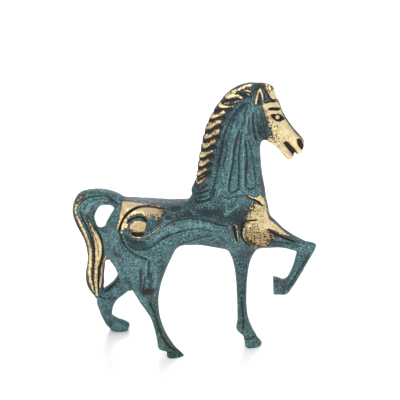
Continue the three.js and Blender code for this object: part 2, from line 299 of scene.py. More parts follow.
# Polished places. A plate is an outline [x, z]; a streak is [half widths, points].
HAUNCH_STRIP = [
    [-35.9, 86.3], [-33.5, 86.1], [-31, 85.9], [-27.7, 85.5], [-25.3, 85.2], [-22.8, 84.9], [-20.4, 84.3],
    [-17.9, 83.7], [-15.4, 83.2], [-15.9, 82.6], [-17.1, 82.7], [-19.6, 83.4], [-23.7, 84.2], [-27.8, 83.6],
    [-31.1, 82], [-33.6, 80], [-35.7, 77.2], [-37.1, 74], [-37.8, 71.7], [-38.2, 69.4], [-38.9, 69.4],
    [-38.5, 73.1], [-37.8, 76.3], [-37.1, 80], [-36.4, 83.6],
]
HAUNCH_CRESCENT = [
    [-17.1, 81.7], [-19.6, 82.3], [-23.7, 82.7], [-27, 82.5], [-29.9, 81.1], [-32.4, 79.3], [-34.5, 76.8],
    [-36, 74], [-36.7, 71.2], [-37, 68.9], [-36.4, 66.6], [-35.9, 69.4], [-35, 71.2], [-33.6, 71.4],
    [-33.2, 73.2], [-34, 74.9], [-33.2, 76.4], [-31.2, 78.1], [-28.7, 79.1], [-26.2, 79.1], [-25, 77.7],
    [-23.6, 75.9], [-23, 77.2], [-21.3, 78], [-19.9, 77.4], [-18.4, 74.7], [-18, 76.8], [-16.8, 77.7],
    [-15.5, 78.6], [-14.5, 80], [-15.9, 81.3],
]
HAUNCH_DISC = [
    [-32.5, 71.4], [-32, 73.4], [-30.1, 74.9], [-27.3, 75.3], [-25.1, 74.9], [-23.9, 73.8], [-24.4, 71.2],
    [-25.5, 69.1], [-28, 68.8], [-30.5, 69.4], [-32, 70.1],
]
CHEST_PLATE = [
    [30.6, 87.2], [31.4, 88], [32.4, 88.6], [34, 86.6], [35, 84], [35.9, 80.9], [36.7, 78.2], [37.6, 75.2],
    [39.6, 73], [42.6, 70.1], [45.6, 67.5], [48, 65.4], [43.1, 67.3], [39.6, 69.4], [36.6, 71], [36.4, 69.6],
    [39.1, 67.9], [40.6, 66.2], [38.6, 64.6], [37, 62.6], [36.3, 60.6], [33.5, 59.4], [30.1, 61.7],
    [27.2, 63.8], [24.9, 67.3], [24.5, 69.8], [25, 71.9], [24.4, 74], [25.4, 77.2], [26.7, 81.5],
    [28.2, 84.4], [30.4, 84], [33.6, 83.2],
]
FACE_PLATE = [
    [32.4, 135.4], [34, 136.2], [36.8, 136.3], [39.6, 136], [41.4, 134.6], [43, 131.4], [44.6, 128.4],
    [46.4, 125.6], [48.2, 122.9], [50, 120.6], [52, 118], [53.8, 115.9], [55, 113.9], [54.8, 109.6],
    [52, 107.5], [49.6, 107.5], [48.6, 105.6], [45.8, 104.6], [43, 106.2], [41.6, 109.6], [40.2, 111.8],
    [37.2, 114], [33.6, 116.2], [36.1, 119.1], [37.4, 120.3], [37.2, 122.6], [36, 124.9], [34.8, 127.2],
    [33.9, 129.5], [33.6, 131.8], [33.2, 133.4],
]
FORELOCK_PLATE = [
    [33.4, 143], [34.4, 145], [36.6, 144.8], [38.4, 143], [39.6, 140.8], [40.6, 138.4], [40.6, 136.4],
    [38.6, 136.3], [36.9, 137.6], [35.9, 139.6], [34.6, 141.3],
]
MANE_PLATES = [
    [[14.6, 139.7], [15.5, 141], [17.7, 142.3], [19.8, 143.5], [22.4, 144.6], [24.7, 145.6], [26.5, 145.9],
     [27.6, 145.4], [27.2, 144.3], [24.9, 144.6], [23.9, 143.6], [22.6, 142.6], [20.8, 142.7], [19.7, 141.9],
     [19.6, 140.7], [21.5, 140.2], [23.4, 138.6], [22.9, 138], [20.7, 139.1], [18.5, 138.8], [16.3, 138.3],
     [15.1, 138.7]],
    [[10.6, 134.7], [11.3, 135.5], [12.1, 136], [13, 135.6], [13.4, 134.9], [14.4, 135.6], [15.6, 136.4],
     [16.6, 136.9], [16.8, 136.1], [15.7, 135.5], [14.6, 134.8], [15.6, 134.6], [17, 134.4], [18.7, 134.5],
     [18.7, 133.9], [16.5, 133.7], [15.1, 133.4], [13.7, 133.1], [12, 133.2], [10.9, 133.8]],
    [[7.3, 127.3], [7.6, 128.5], [8.4, 129.9], [9.1, 130.5], [9.5, 129.6], [10.4, 129.4], [11.4, 129.9],
     [12.4, 130.5], [12.8, 131.3], [13.5, 131.8], [14.4, 131.9], [14.8, 131.2], [14.2, 130.5], [13.5, 129.8],
     [12.3, 129.1], [10.8, 128.4], [9.7, 127.6], [8.4, 127.1]],
    [[5.6, 121.8], [5.9, 122.8], [6.7, 123.9], [7.5, 124.5], [8.4, 124.6], [9.4, 125.2], [10.1, 126],
     [10.8, 126.7], [11.8, 127.1], [12.8, 127.3], [13.5, 127.6], [13.2, 126.9], [12.4, 126.4], [12.8, 125.7],
     [12.1, 125.2], [10.8, 124.7], [9.4, 123.8], [8.5, 122.9], [7.5, 122.1], [6.5, 121.8]],
    [[4.7, 117.4], [5, 118.2], [6, 118.8], [7.3, 119.3], [8.5, 120.1], [9.3, 121], [10.1, 121.6],
     [11.1, 122], [11.8, 122.3], [12.3, 122.1], [12.1, 121.4], [12.2, 120.5], [11.1, 120], [9.7, 119.4],
     [8.5, 118.7], [7.3, 117.7], [5.8, 116.9], [4.9, 116.8]],
    [[3.6, 112.6], [3.8, 113.4], [4.6, 113.9], [5.8, 114.1], [6.9, 114.9], [7.7, 115.7], [8.6, 116.4],
     [9.4, 117], [10.2, 117.3], [10.2, 116.3], [10.4, 115.6], [9.4, 115.1], [8.3, 114.5], [7, 113.5],
     [6.2, 112.5], [5.3, 111.9], [4.2, 112]],
    [[2.6, 106.7], [2.8, 108], [3.4, 109], [4.1, 109.4], [4.8, 109.4], [5.8, 110], [6.8, 110.6],
     [7.8, 111.2], [8.7, 111.4], [9, 110.8], [7.8, 110], [6.8, 109.3], [5.7, 108.4], [4.9, 107.5],
     [3.9, 106.8]],
    [[2.1, 102.7], [2.3, 103.8], [3.1, 104.6], [4.1, 104.8], [5.1, 105.3], [6.1, 106.1], [6.8, 106.7],
     [7.1, 106.4], [7.9, 106.2], [6.9, 105.2], [5.8, 104.2], [4.9, 103.3], [4.1, 102.6], [3.1, 102.1],
     [2.4, 102.2]],
    [[1, 97.7], [1.5, 98.8], [2.3, 99.5], [3.2, 99.9], [4, 100.6], [4.9, 101.2], [5.9, 101.7], [6.8, 101.6],
     [6.6, 100.9], [5.5, 100.2], [4.3, 99.4], [3.3, 98.5], [2.5, 97.5], [1.7, 97], [1.1, 97.2]],
]
# Every plate with the least sideways slope that is still polished, from 0 to 1.
PLATES = [
    [0.12, HAUNCH_STRIP], [0.1, HAUNCH_CRESCENT], [0.2, HAUNCH_DISC], [0.25, CHEST_PLATE], [0.2, FACE_PLATE],
    [0.1, FORELOCK_PLATE], *([0.2, outline] for outline in MANE_PLATES),
]
LEFT_CHEST_PLATE = [
    [31.2, 88], [32.4, 88.6], [34, 86.6], [35, 84], [35.9, 80.9], [36.7, 78.2], [36.8, 75], [36.6, 71],
    [35, 67], [32, 65], [28.5, 66], [25.4, 69.8], [25, 72], [25.4, 77.2], [26.7, 81.5], [28.4, 85],
]
LEFT_PLATES = [[0.7, HAUNCH_STRIP], *PLATES[1:3], [0.2, LEFT_CHEST_PLATE], *PLATES[4:]]

# Stretches that the polishing made flat: [share, outline].
FLATS = [
    [0.85, [[-36.8, 85], [-28, 84.8], [-14, 83.4], [-11.5, 78], [-16, 73], [-19, 69.5], [-26, 66], [-33, 66],
            [-39.5, 66.5], [-38.6, 75]]],
    [0.85, [[31, 88.5], [33.6, 88], [36.6, 80], [37.4, 74], [38, 66], [35, 60], [28, 62], [24, 69], [25, 78],
            [28, 85]]],
    [0.6, [[33, 136], [40, 135], [44, 128], [50, 118], [53, 112], [48, 109], [42, 112], [35, 117], [37, 122],
           [34, 129]]],
]

STREAKS = [
    # Mane: the two thin lips of the last bright lock, and strands between the first ones and the ear.
    [[0.3, 0.35, 0.3, 0.2], [[0.8, 94], [1.6, 93.5], [2.6, 94], [3.6, 94.9], [4.6, 96], [6.4, 97.2]]],
    [[0.16, 0.22, 0.14], [[0.8, 94.1], [1.5, 95.1], [3, 96.4], [4.6, 97.6]]],
    [[0.15, 0.3, 0.15], [[18.7, 135.6], [19.4, 136.5], [21.1, 137.1]]],
    [[0.2, 0.3, 0.2], [[24.2, 142.6], [25.4, 142.4], [27.1, 141.6]]],
    [[0.15, 0.25, 0.15], [[25, 140.9], [26.4, 140]]],
    # Ear rims.
    [[0.35, 0.4, 0.45, 0.4], [[31.4, 142.8], [30.4, 141], [29.8, 138.9], [29.4, 136.2]]],
    [[0.35, 0.45, 0.5, 0.6], [[31.4, 142.8], [32.3, 140.8], [32.9, 138.4], [33.5, 135.6]]],
    # Haunch: the thin rim under the disc.
    [[0.2, 0.25, 0.22, 0.18, 0.14],
     [[-32.8, 69.9], [-32.3, 68.2], [-31.1, 66.7], [-29.2, 66.1], [-26.5, 66.3], [-24, 67.1], [-21.4, 68.7],
      [-18.9, 70.5], [-14.5, 73.6]]],
    # Chest: the edge above the dark cut, the rim of the lobe, and the wedge behind it.
    [[0.2, 0.4, 0.6], [[25.8, 89.4], [28.6, 87.9], [31.4, 86.4]]],
    [[0.25, 0.4, 0.4, 0.45, 0.4], [[24.9, 72.2], [24.2, 69], [25, 65.6], [28.2, 61.9], [33, 59.6]]],
    [[0.15, 0.24, 0.22, 0.12], [[19.4, 73.4], [20.5, 72.9], [21.2, 69.1], [22, 63.6]]],
    # Tail strands.
    [[0.1, 0.2, 0.22], [[-54.3, 87], [-57, 85.1], [-59.1, 82.4], [-60.1, 79.8]]],
    [[0.05, 0.14, 0.16], [[-54.6, 85.7], [-56.4, 83.8], [-58.1, 81.7], [-59, 79.4]]],
    [[0.4, 0.5, 0.6, 0.75, 0.8, 0.8, 0.8, 0.8, 0.7, 0.5],
     [[-59, 81.2], [-59.5, 78], [-58.3, 74.2], [-56.4, 69], [-54.5, 63.7], [-53.3, 59.1], [-53, 53.5],
      [-53.5, 47], [-54.2, 41.2], [-53.8, 35.8], [-52.4, 28.8]]],
    [[0.25, 0.5, 1.1, 1.6, 1.6, 1.2, 0.95, 0.9, 0.8, 0.6],
     [[-53.9, 75.5], [-52.7, 71.6], [-50.8, 66.6], [-49.3, 62], [-48.8, 57], [-49.2, 51.4], [-50.2, 46],
      [-50.9, 40.6], [-51.1, 35], [-51, 30], [-51, 26]]],
    [[0.3, 0.45, 0.5, 0.5, 0.4], [[-45, 52.3], [-46.3, 49], [-47.4, 44.6], [-48, 39.2], [-49.2, 31.5]]],
]

# Cut lines, dark at the bottom: [half width, depth, points].
CUTS = [
    # Haunch arc and ring round the disc.
    [0.5, 0.8, [[-15, 82], [-17.1, 82.3], [-19.6, 82.9], [-23.7, 83.5], [-27.4, 83.1], [-30.7, 81.6],
                [-33, 79.6], [-35.1, 77], [-36.6, 73.9], [-37.3, 71.5], [-37.8, 68.9], [-37.5, 66.6]]],
    [0.45, 0.8, [[-34, 73.6], [-32.9, 75], [-30.8, 76.5], [-28.7, 77.5], [-26.7, 77.5],
                 [-25.2, 76.5], [-23.6, 74]]],
    # Chest: the cut under the upper edge, the short curl, the line along the foreleg, the wedge, the lobe.
    [0.35, 0.7, [[25.6, 88.7], [28.3, 87], [31.4, 84.8], [34, 82.6]]],
    [0.5, 0.6, [[23.2, 73.2], [24.4, 74.3], [26.2, 75.1], [28.6, 75.6], [31.6, 75.7]]],
    [0.42, 0.7, [[35.6, 70.4], [38, 69.1], [40.9, 67.4], [44.2, 65.5], [47.4, 64], [50.8, 62.4]]],
    [0.6, 0.6, [[19.2, 72.6], [19.9, 69.6], [20.7, 66.3], [21.4, 63.6]]],
    [0.24, 0.4, [[25.9, 72], [25.4, 69], [26.3, 66.1], [29.2, 63], [33, 60.9]]],
    [0.38, 0.5, [[24.2, 74], [23.4, 71.4], [23.2, 68.6], [24, 65.4], [26.8, 62], [30, 60]]],
    # Brow.
    [0.85, 0.6, [[35.4, 132.9], [37.2, 133.1], [39.2, 132.9], [41.2, 132.5]]],
    # The line round the recess behind the forelock.
    [0.4, 0.6, [[33.4, 142.4], [34.6, 141.2], [35.6, 139.4], [37, 137.5], [39.6, 136.9]]],
    [0.35, 0.6, [[33.1, 141.4], [33.3, 139], [33.5, 136.7], [36, 136.5], [39.6, 136.5]]],
    # Tail.
    [0.35, 0.5, [[-56.8, 80.6], [-57.2, 77.4], [-55.6, 72.8], [-53.4, 67], [-52, 62.4], [-51.2, 57],
                 [-51.2, 51], [-51.8, 45], [-52.3, 39.5], [-52.3, 32.5], [-51.6, 27.5]]],
    [0.4, 0.5, [[-48.6, 65.6], [-47.1, 61.4], [-46.4, 57], [-47, 52], [-48.2, 47], [-49.4, 41],
                [-49.8, 34], [-50, 28]]],
    [0.4, 0.4, [[-60.9, 77.6], [-59.8, 72.6], [-57.8, 67.4], [-55.9, 62], [-55, 56], [-55, 50],
                [-55.8, 44], [-56.2, 38], [-55, 32], [-53, 27]]],
    [0.16, 0.2, [[-50.4, 63.6], [-49.4, 60], [-49, 56], [-49.2, 52]]],
    [0.14, 0.2, [[-51.2, 44], [-51.4, 39], [-51.2, 34]]],
    [0.14, 0.2, [[-54.6, 66.4], [-53.4, 61.4], [-53, 56]]],
]

# Pits: [depth, outline]. The nostril, the open mouth and the pocket under the disc of the haunch, painted
# dark brown as painted shade.
SHADED_PITS = [
    [0.7, [[49.5, 117.2], [50, 114.6], [51, 112.6], [52.4, 111.1], [53.3, 111.8], [53.2, 113.6], [52.3, 116],
           [51, 117.5]]],
    [0.5, [[43.2, 115], [44.8, 112.4], [46.5, 110.2], [48.2, 107.8], [50.6, 108], [49.8, 109.8], [49, 111.2],
           [47.2, 113.4], [45.5, 115.4], [44.2, 115.9]]],
    [0.9, [[-31.8, 67.9], [-30.6, 69.1], [-28.6, 68.7], [-26.6, 69.2], [-25, 68.6], [-25.4, 67.5],
           [-26.6, 66.7], [-29, 66.4], [-30.8, 66.8]]],
]

# Shallow lines in the patina: [half width, depth, points].
CREASES = [
    # Haunch and thigh.
    [0.4, 0.6, [[-37.7, 67.5], [-36.7, 65.3], [-35.3, 61.9], [-33.4, 59.1], [-30.9, 57.1], [-27.5, 55.7],
                [-24.5, 54.6], [-23, 54]]],
    [0.5, 0.5, [[-23, 54], [-22.9, 51.4], [-23.3, 47.2], [-24, 43.2]]],
    [0.5, 0.4, [[-26.8, 49.5], [-27.2, 44.9], [-27.3, 39.7], [-28.1, 36.2]]],
    [0.5, 0.5, [[-25.2, 44.3], [-25.6, 40.9], [-26.1, 37.4]]],
    [1, 0.4, [[-22.3, 47.8], [-22.3, 42.6], [-22.9, 38]]],
    [0.5, 0.45, [[-34.4, 63.1], [-31.9, 60.5], [-28.4, 59.7], [-24.9, 59.7], [-21.9, 61.1], [-18.9, 63.1],
                 [-15.8, 65.6], [-12.3, 67.8]]],
    # Along the belly and the ribs.
    [0.4, 0.45, [[-16.4, 71.6], [-13.2, 73.3], [-8.6, 75.3], [-4.8, 75.9], [0.2, 76], [6, 75.2], [12.5, 73],
                 [17, 72.4]]],
    [0.5, 0.5, [[-16.8, 64.4], [-12.4, 66.9], [-7.3, 68.9], [-2.7, 70.2], [2, 70.6], [5.9, 69.9],
                [9.6, 68.4]]],
    [0.4, 0.4, [[-8.4, 61.1], [-2.4, 63.3], [2.6, 65.4], [7.6, 66.8], [10.6, 67.2]]],
    [0.4, 0.4, [[10.6, 67.2], [12.6, 66], [15, 63.4], [18, 61.6]]],
    [0.35, 0.2, [[-10.4, 63.6], [-5.4, 65.6], [-0.6, 66.6], [4, 66.8]]],
    # Neck.
    [0.4, 0.35, [[20, 128.7], [18.4, 125.4], [16.9, 120], [15.9, 116.5], [15.6, 111.4], [14.8, 107.6],
                 [14, 102]]],
    [0.45, 0.6, [[22, 123.6], [20.6, 119], [19.6, 113.6], [18.6, 105], [17.7, 99], [17, 93.3], [17, 90.2]]],
    [0.4, 0.55, [[22.7, 121.5], [22, 114.4], [21.4, 108.8], [21.8, 103], [21.7, 98.2], [21.9, 92.8]]],
    [0.45, 0.6, [[17, 90.2], [19.4, 90.7], [22, 92.8]]],
    [0.45, 0.6, [[24.2, 118.4], [25.4, 110.7], [25.3, 104], [25.1, 98.2], [25.4, 93.6]]],
    [0.35, 0.4, [[25.6, 119.2], [27.3, 113.6], [28.3, 107.4], [29.3, 101.6], [29.9, 96.2], [29.8, 93.8]]],
    [0.4, 0.5, [[25.4, 93.6], [26.8, 92.4], [29, 92.8], [29.8, 93.8]]],
    [0.25, 0.2, [[20, 112], [19.9, 104], [19.4, 97]]],
    [0.25, 0.2, [[27, 108], [27.4, 102], [27.4, 96.4]]],
    [0.45, 0.6, [[28.4, 132], [28.2, 127.6], [28.6, 123.3], [29.1, 120.1], [30.6, 116.6]]],
    [0.35, 0.35, [[30.3, 130.6], [30.4, 126.4], [31.2, 122.2], [32.7, 118.7]]],
    [0.35, 0.3, [[26.3, 129.6], [26.1, 125], [26.8, 120.4]]],
    [0.45, 0.35, [[12, 88.5], [16.4, 87.2], [20, 88.1], [23, 88.9], [25.6, 89]]],
    [0.45, 0.35, [[26, 135], [24.4, 131.6], [24.2, 127.6], [22.6, 124]]],
    [0.35, 0.3, [[22.6, 132.4], [21, 128.6], [19.6, 123]]],
    [0.7, 0.6, [[19.8, 140.6], [22, 140.5], [24.6, 140.1], [27.4, 139]]],
    # Ear hollow.
    [0.9, 0.8, [[31.2, 141.6], [31, 139], [31.2, 135.6]]],
    # The dull locks at the foot of the mane.
    [0.3, 0.35, [[0.2, 92.6], [2.2, 91.8], [4.6, 92.6], [7.1, 94]]],
    [0.35, 0.4, [[-0.3, 89.9], [2.2, 90.4], [4.6, 91], [7.6, 91.3]]],
    [0.3, 0.35, [[-0.1, 87.5], [2.2, 88.3], [4.6, 88.5], [7.1, 89.1], [8.6, 91]]],
    [0.7, 0.6, [[0.2, 85.5], [3.1, 85.8], [6.1, 86.6], [8.6, 88.5], [10, 91.8]]],
    # Mane base.
    [1, 0.5, [[8.6, 90], [9.8, 93.3], [11.2, 97.6], [12.1, 104.4], [13, 111.2], [14.2, 117.3], [16.2, 123.5],
              [19, 129.1], [22.8, 134.2], [27, 137]]],
    # Legs.
    [0.5, 0.6, [[-23.4, 31.3], [-21, 25], [-19, 18.8], [-17.2, 13.1], [-15.2, 9.4], [-12.9, 6.1],
                [-10.2, 4.2]]],
    [0.4, 0.6, [[23.9, 30], [24.6, 22.3], [25.2, 16.4], [24.8, 10.5]]],
    [0.4, 0.6, [[25.4, 5.6], [27.2, 5], [29.2, 5.4], [32, 6.6]]],
    [0.4, 0.4, [[-14.8, 3.2], [-12.4, 3.4], [-9.4, 4.4]]],
    [0.5, 0.5, [[57.8, 56.4], [55.6, 51.4], [53, 46.4], [50, 40.6], [47.4, 36]]],
    [0.4, 0.4, [[36.6, 64.5], [42.2, 63.3], [48.3, 61.9], [53.4, 60]]],
    [0.5, 0.7, [[-46.2, 28.6], [-44.2, 30.8], [-41.8, 33.3], [-40, 36.2], [-38.4, 39.2]]],
    [0.5, 0.5, [[-52, 26.4], [-47.4, 24.4], [-43.6, 25.6]]],
    # Tail loop.
    [0.35, 0.5, [[-58.4, 80.6], [-55.4, 84], [-50.5, 86.1], [-45.1, 86.5], [-40.1, 85.4], [-36.2, 83.8]]],
    [0.3, 0.4, [[-55.2, 78.8], [-53.6, 82], [-50, 84.2], [-45, 85], [-41, 84.2], [-37.6, 82.8]]],
    [0.3, 0.4, [[-52.3, 76.3], [-51.2, 79.8], [-48.6, 82.2], [-45, 83.2], [-42, 82.6]]],
    [0.3, 0.3, [[-51.6, 73], [-49.4, 67.4], [-46.4, 61.4]]],
]

# Raised soft lines, with a painted highlight along their tops: [half width, height, points].
RISES = [
    # Neck.
    [0.4, 0.6, [[18.5, 127.7], [16.6, 123.6], [15, 118.6], [14, 111.4], [13.2, 106.4], [12.2, 101.6],
                [11.1, 96.2], [9.4, 91.3]]],
    [0.3, 0.5, [[20.6, 122.6], [19.2, 117.9], [18.3, 113.4], [17.4, 106.4], [16.6, 98.6], [15.8, 92.3],
                [15.6, 89.8]]],
    [0.35, 0.5, [[23.6, 122.5], [23.7, 116], [23.7, 109.8], [23.6, 104], [23.8, 98.2], [24, 92.3],
                 [26, 90.2], [29.1, 89.4]]],
    [0.35, 0.4, [[18.6, 88.8], [21, 89.9], [23.4, 91.2]]],
    [0.5, 0.4, [[26.6, 135.7], [25.2, 131.9], [25.3, 127.2], [24.4, 121.4]]],
    # Shoulder.
    [0.5, 0.35, [[8.2, 86], [10, 86.3], [11.6, 88], [12, 90.4], [11.2, 93]]],
    [0.3, 0.4, [[0.2, 82.5], [1.4, 83.6], [3.9, 84.9]]],
    [0.5, 0.4, [[14.6, 78.1], [17.5, 80.3], [21.8, 84]]],
    # Haunch and belly.
    [0.4, 0.4, [[-36.3, 65], [-33.4, 60.8], [-30.4, 58.8], [-26.9, 57.5], [-23.5, 56.3]]],
    [0.4, 0.35, [[-24.5, 53.2], [-24.4, 49.5], [-24.5, 45.5]]],
    [0.35, 0.3, [[-26.1, 47.8], [-26.1, 43.7], [-26.4, 39.1]]],
    [0.5, 0.35, [[-20, 48.9], [-19.6, 44.9], [-19.6, 40.3]]],
    [0.8, 0.3, [[-21, 64.5], [-15, 69], [-9, 72], [-2, 73.2], [4, 72.8], [9, 71]]],
    [0.5, 0.2, [[-12, 68.4], [-6, 70.4], [0, 70.8], [6, 70.2]]],
    # Foot of the mane.
    [0.35, 0.3, [[1.2, 91.2], [3.6, 91.5], [6.1, 92.3]]],
    [0.3, 0.3, [[1.2, 89], [3.6, 89.4], [6.1, 89.9]]],
    [0.3, 0.3, [[1.7, 86.9], [4.1, 87.1], [6.6, 87.7]]],
    [0.3, 0.3, [[7.1, 84.1], [9.1, 82.7], [11.1, 81.1]]],
]
LINE_DARKNESS = 2.4
RISE_PAINTED_HIGHLIGHT = 1.8

# Hollows: [depth, softness of the edge, darkness, outline].
HOLLOWS = [
    [0.8, 0.6, 0.6, [[-23.7, 72.2], [-23, 74.5], [-21.3, 76.5], [-19.7, 75.9], [-18.5, 74], [-17.2, 76.3],
                     [-15.5, 77.2], [-15.5, 74.9], [-17.2, 73.1], [-19.3, 71.7], [-21.8, 69.9],
                     [-23.9, 68.9], [-24.3, 70.3]]],
    [0.6, 1, 0.7, [[-36, 69.6], [-35.4, 66], [-33.4, 63.4], [-30, 62], [-25.5, 62.2], [-23.4, 63.6],
                   [-26, 64.4], [-30.6, 64.8], [-33.4, 67]]],
    [0.6, 0.4, 0.5, [[33.7, 140.8], [34.7, 140.2], [35.8, 138.1], [37.2, 137], [35.3, 136.8], [33.9, 137]]],
    [0.5, 1.6, 0.35, [[30.5, 127], [33, 125], [34.2, 122], [34, 119], [31.5, 119], [30, 122]]],
]

# The eye: an almond hollow with the ball left standing in it.
EYE_OUTLINE = [
    [36.2, 130.1], [37.8, 130.9], [39, 130.5], [40.3, 130.8], [41.8, 129.9], [43.9, 127.4], [42.4, 127],
    [41.4, 126.4], [39.4, 126.9], [37.6, 128.3],
]
EYE_BALL = [40, 128.8, 1]
EYE_DEPTH = 0.7

# Speckled wear near some edges of the polish: [reach, amount, points].
FLECKS = [
    # Chest.
    [4.5, 1.7, [[27.6, 82.4], [26.4, 80.4], [25.2, 77.5], [24.6, 74.5]]],
    [7.5, 1.6, [[31, 65], [36, 64], [38, 65]]],
    [5, 1.2, [[27.5, 70], [30, 71.5]]],
    [6, 0.8, [[31, 75], [34, 80]]],
    [4, 1.1, [[33, 62.5], [39, 65.5]]],
    [2.5, 0.4, [[43, 69.5], [48, 65.5]]],
    [1.5, 0.7, [[31, 88.2], [32.5, 88.8]]],
    # Haunch.
    [5, 1.2, [[-14.5, 82], [-14.5, 78], [-18, 76.6], [-22, 77]]],
    [1.3, 0.8, [[-36, 68], [-35.2, 72.4], [-33.2, 76.3], [-31, 78.1], [-26, 79.1]]],
    [1, 0.7, [[-39.2, 68.6], [-38.6, 76], [-36.6, 85.8], [-28.6, 85.7], [-16, 83.3]]],
    [2.2, 1, [[-32, 70], [-28, 68.8], [-25.5, 69.2]]],
    [5, 0.55, [[-29, 72], [-27, 72]]],
    [3, 0.5, [[-37.6, 70], [-36.4, 76], [-34, 81.5]]],
    # Cheek, forelock and poll.
    [3, 1.3, [[33.2, 131], [34, 129.5], [36, 125], [37.3, 122], [36.5, 118.5]]],
    [6, 1, [[36, 127], [37.6, 122], [38, 118], [41, 115.4]]],
    [3.5, 1.5, [[37.6, 119.6], [39.4, 116.8]]],
    [4, 0.6, [[41, 122], [45, 119]]],
    [4, 1.3, [[33.6, 144.4], [36, 143]]],
    # Tail.
    [2.2, 0.5, [[-54.5, 86.6], [-57.6, 83.6], [-59.5, 80]]],
    [1.6, 0.6, [[-59.5, 79], [-58.2, 74]]],
    [1.2, 0.6, [[-56.4, 69], [-53.3, 59], [-53, 53.5], [-54.2, 41.2], [-52.4, 28.8]]],
    [1.8, 0.55, [[-49.3, 62], [-48.8, 57], [-50.2, 46], [-51.1, 35], [-51, 28]]],
    [1.8, 0.9, [[-54, 75.5], [-52.7, 70.8], [-50.5, 65.6]]],
    [0.8, 1, [[-50, 63], [-48.8, 57], [-49, 51]]],
    [1, 0.35, [[-45.4, 51], [-47.2, 45.6], [-48, 38], [-49.6, 30]]],
    [0.5, 1, [[-53.8, 66], [-52.6, 60], [-52.2, 52], [-52.8, 42], [-52.4, 32]]],
    [0.5, 1, [[-50.8, 45], [-50.6, 38], [-50.8, 30]]],
    # Mane.
    [3, 0.4, [[21, 143], [28, 144.4]]],
    [2, 0.9, [[17.5, 141], [19, 140]]],
    [2, 0.8, [[12, 135.4], [20, 137]]],
    [2.2, 0.9, [[22, 136.5], [16.5, 131], [14.8, 126.9], [13.6, 121.8], [11.8, 116.8], [10.5, 111.4],
                [9.8, 107], [8.8, 102]]],
]
LOCK_FLECK = [2, 0.75]

# Darker (below 0) and paler (above 0) stretches of the crust, which add up: [reach, amount, points]. Most
# are mottling of the crust; the marked ones are painted shade and painted highlights.
MOTTLES_AND_PAINTED_LIGHT = [
    [5, -0.35, [[-16, 79], [-10, 78.6], [-2, 78.4], [4, 79]]],
    [1.8, -0.6, [[-12.2, 75.3], [-9.2, 76.5], [-6.3, 77.3], [-2.3, 77.6], [2.6, 77.8], [7.6, 77.4]]],
    [2, -1.2, [[1.2, 80.6], [3.6, 80]]],
    [2.2, -1.2, [[5.1, 81.1], [6.6, 78.4]]],
    [2, -0.9, [[8.6, 80.6], [11.1, 79.5]]],
    [1.6, -0.8, [[13.1, 78.9], [13.6, 76.7]]],
    [2.2, -1.2, [[-4.3, 80], [-2.3, 78.9]]],
    [3, -0.6, [[-0.8, 86.6], [1.4, 84.2]]],
    [2.4, -1.5, [[-10.6, 81.7], [-8.4, 82]]],
    [1.8, -1.5, [[-13.8, 76.8], [-12.6, 76.8]]],
    [1.6, -1, [[-33, 74.6], [-30, 76.6], [-27, 77], [-24.5, 75.8]]],
    [1.6, -0.8, [[-34.4, 73], [-34.4, 70]]],
    [6, 0.5, [[-53, 81], [-45, 84]]],
    [3, 0.9, [[2.6, 83.8], [5.1, 84.9], [7.1, 83.8]]],
    [2.4, 0.8, [[15.5, 81.7], [16, 78.9]]],
    [1.8, 0.7, [[5.6, 77.3], [7.6, 76.2]]],
    # Painted shade under the rim of the haunch.
    [2.5, -0.9, [[-33.8, 64.2], [-30.9, 63.1]]],
    [3, -1.1, [[-29.9, 62.5], [-24.9, 61.4]]],
    [2.5, -0.8, [[-35.3, 40.9], [-33.1, 39.1], [-31.9, 37.4]]],
    [2, -0.6, [[-16.7, 52.9], [-16.2, 50]]],
    [4, -0.8, [[33, 129], [33.6, 124], [34, 119]]],
    [3.5, -0.9, [[23.5, 141], [28, 142], [31, 144]]],
    [2.5, -0.5, [[14.5, 116], [13, 104]]],
    [2.4, -1.2, [[-43.6, 25.4], [-41.6, 25.2]]],
    [2.8, -0.9, [[-25.4, 36.2], [-22.4, 36.6]]],
    [2.6, -0.9, [[-47.4, 9], [-44.6, 5.4]]],
    [2.6, -0.8, [[-14, 1.4], [-8, 1.6]]],
    # Painted highlights along both edges of the near hind shank.
    [2, 0.6, [[-26, 31.6], [-23, 27], [-21.2, 21.6]]],
    [1.8, 0.5, [[-17.6, 24], [-16.6, 17], [-13.6, 10], [-10, 5.4]]],
    [1.2, -0.8, [[-22, 85.5], [-17.1, 85.4], [-12.1, 85.5], [-7.2, 85.6], [-3.6, 85.3]]],
    [2.5, -0.4, [[-12.2, 79], [-8.2, 78.6], [-4.9, 78.6], [-2.3, 77.8]]],
    # Painted highlights along the top of the back and along the ridge of the shoulder.
    [2.2, 1.5, [[-22, 87.2], [-12.1, 87.4], [-3.6, 87.8]]],
    [2.6, 0.5, [[14.6, 78.1], [17.5, 80.3], [21.8, 84]]],
    [9, -1.45, [[8, 81], [14, 79], [20, 77], [24, 72]]],
    [6, -0.5, [[-12, 84], [0, 84]]],
    [4, -0.4, [[20, 84], [27, 80]]],
    [6, -0.3, [[-33, 61], [-27, 59], [-20, 59]]],
    [6, -0.7, [[24, 54], [24, 34]]],
    [6, -0.3, [[24, 30], [24.6, 14]]],
    [6, -0.3, [[-22, 30], [-18, 16], [-12, 4]]],
    [4, -0.5, [[3, 90], [5, 86]]],
    [5, -0.35, [[13, 128], [20, 134], [27, 139]]],
    [3, 0.3, [[-12, 70.4], [-4, 72], [6, 71]]],
    [3, 0.35, [[8, 82], [14, 83.6]]],
    [4, 0.3, [[-30, 46], [-24, 44]]],
    [6, -0.35, [[-36, 38], [-44, 30], [-47, 14]]],
    [6, -0.3, [[56, 52], [50, 40], [44, 36]]],
]

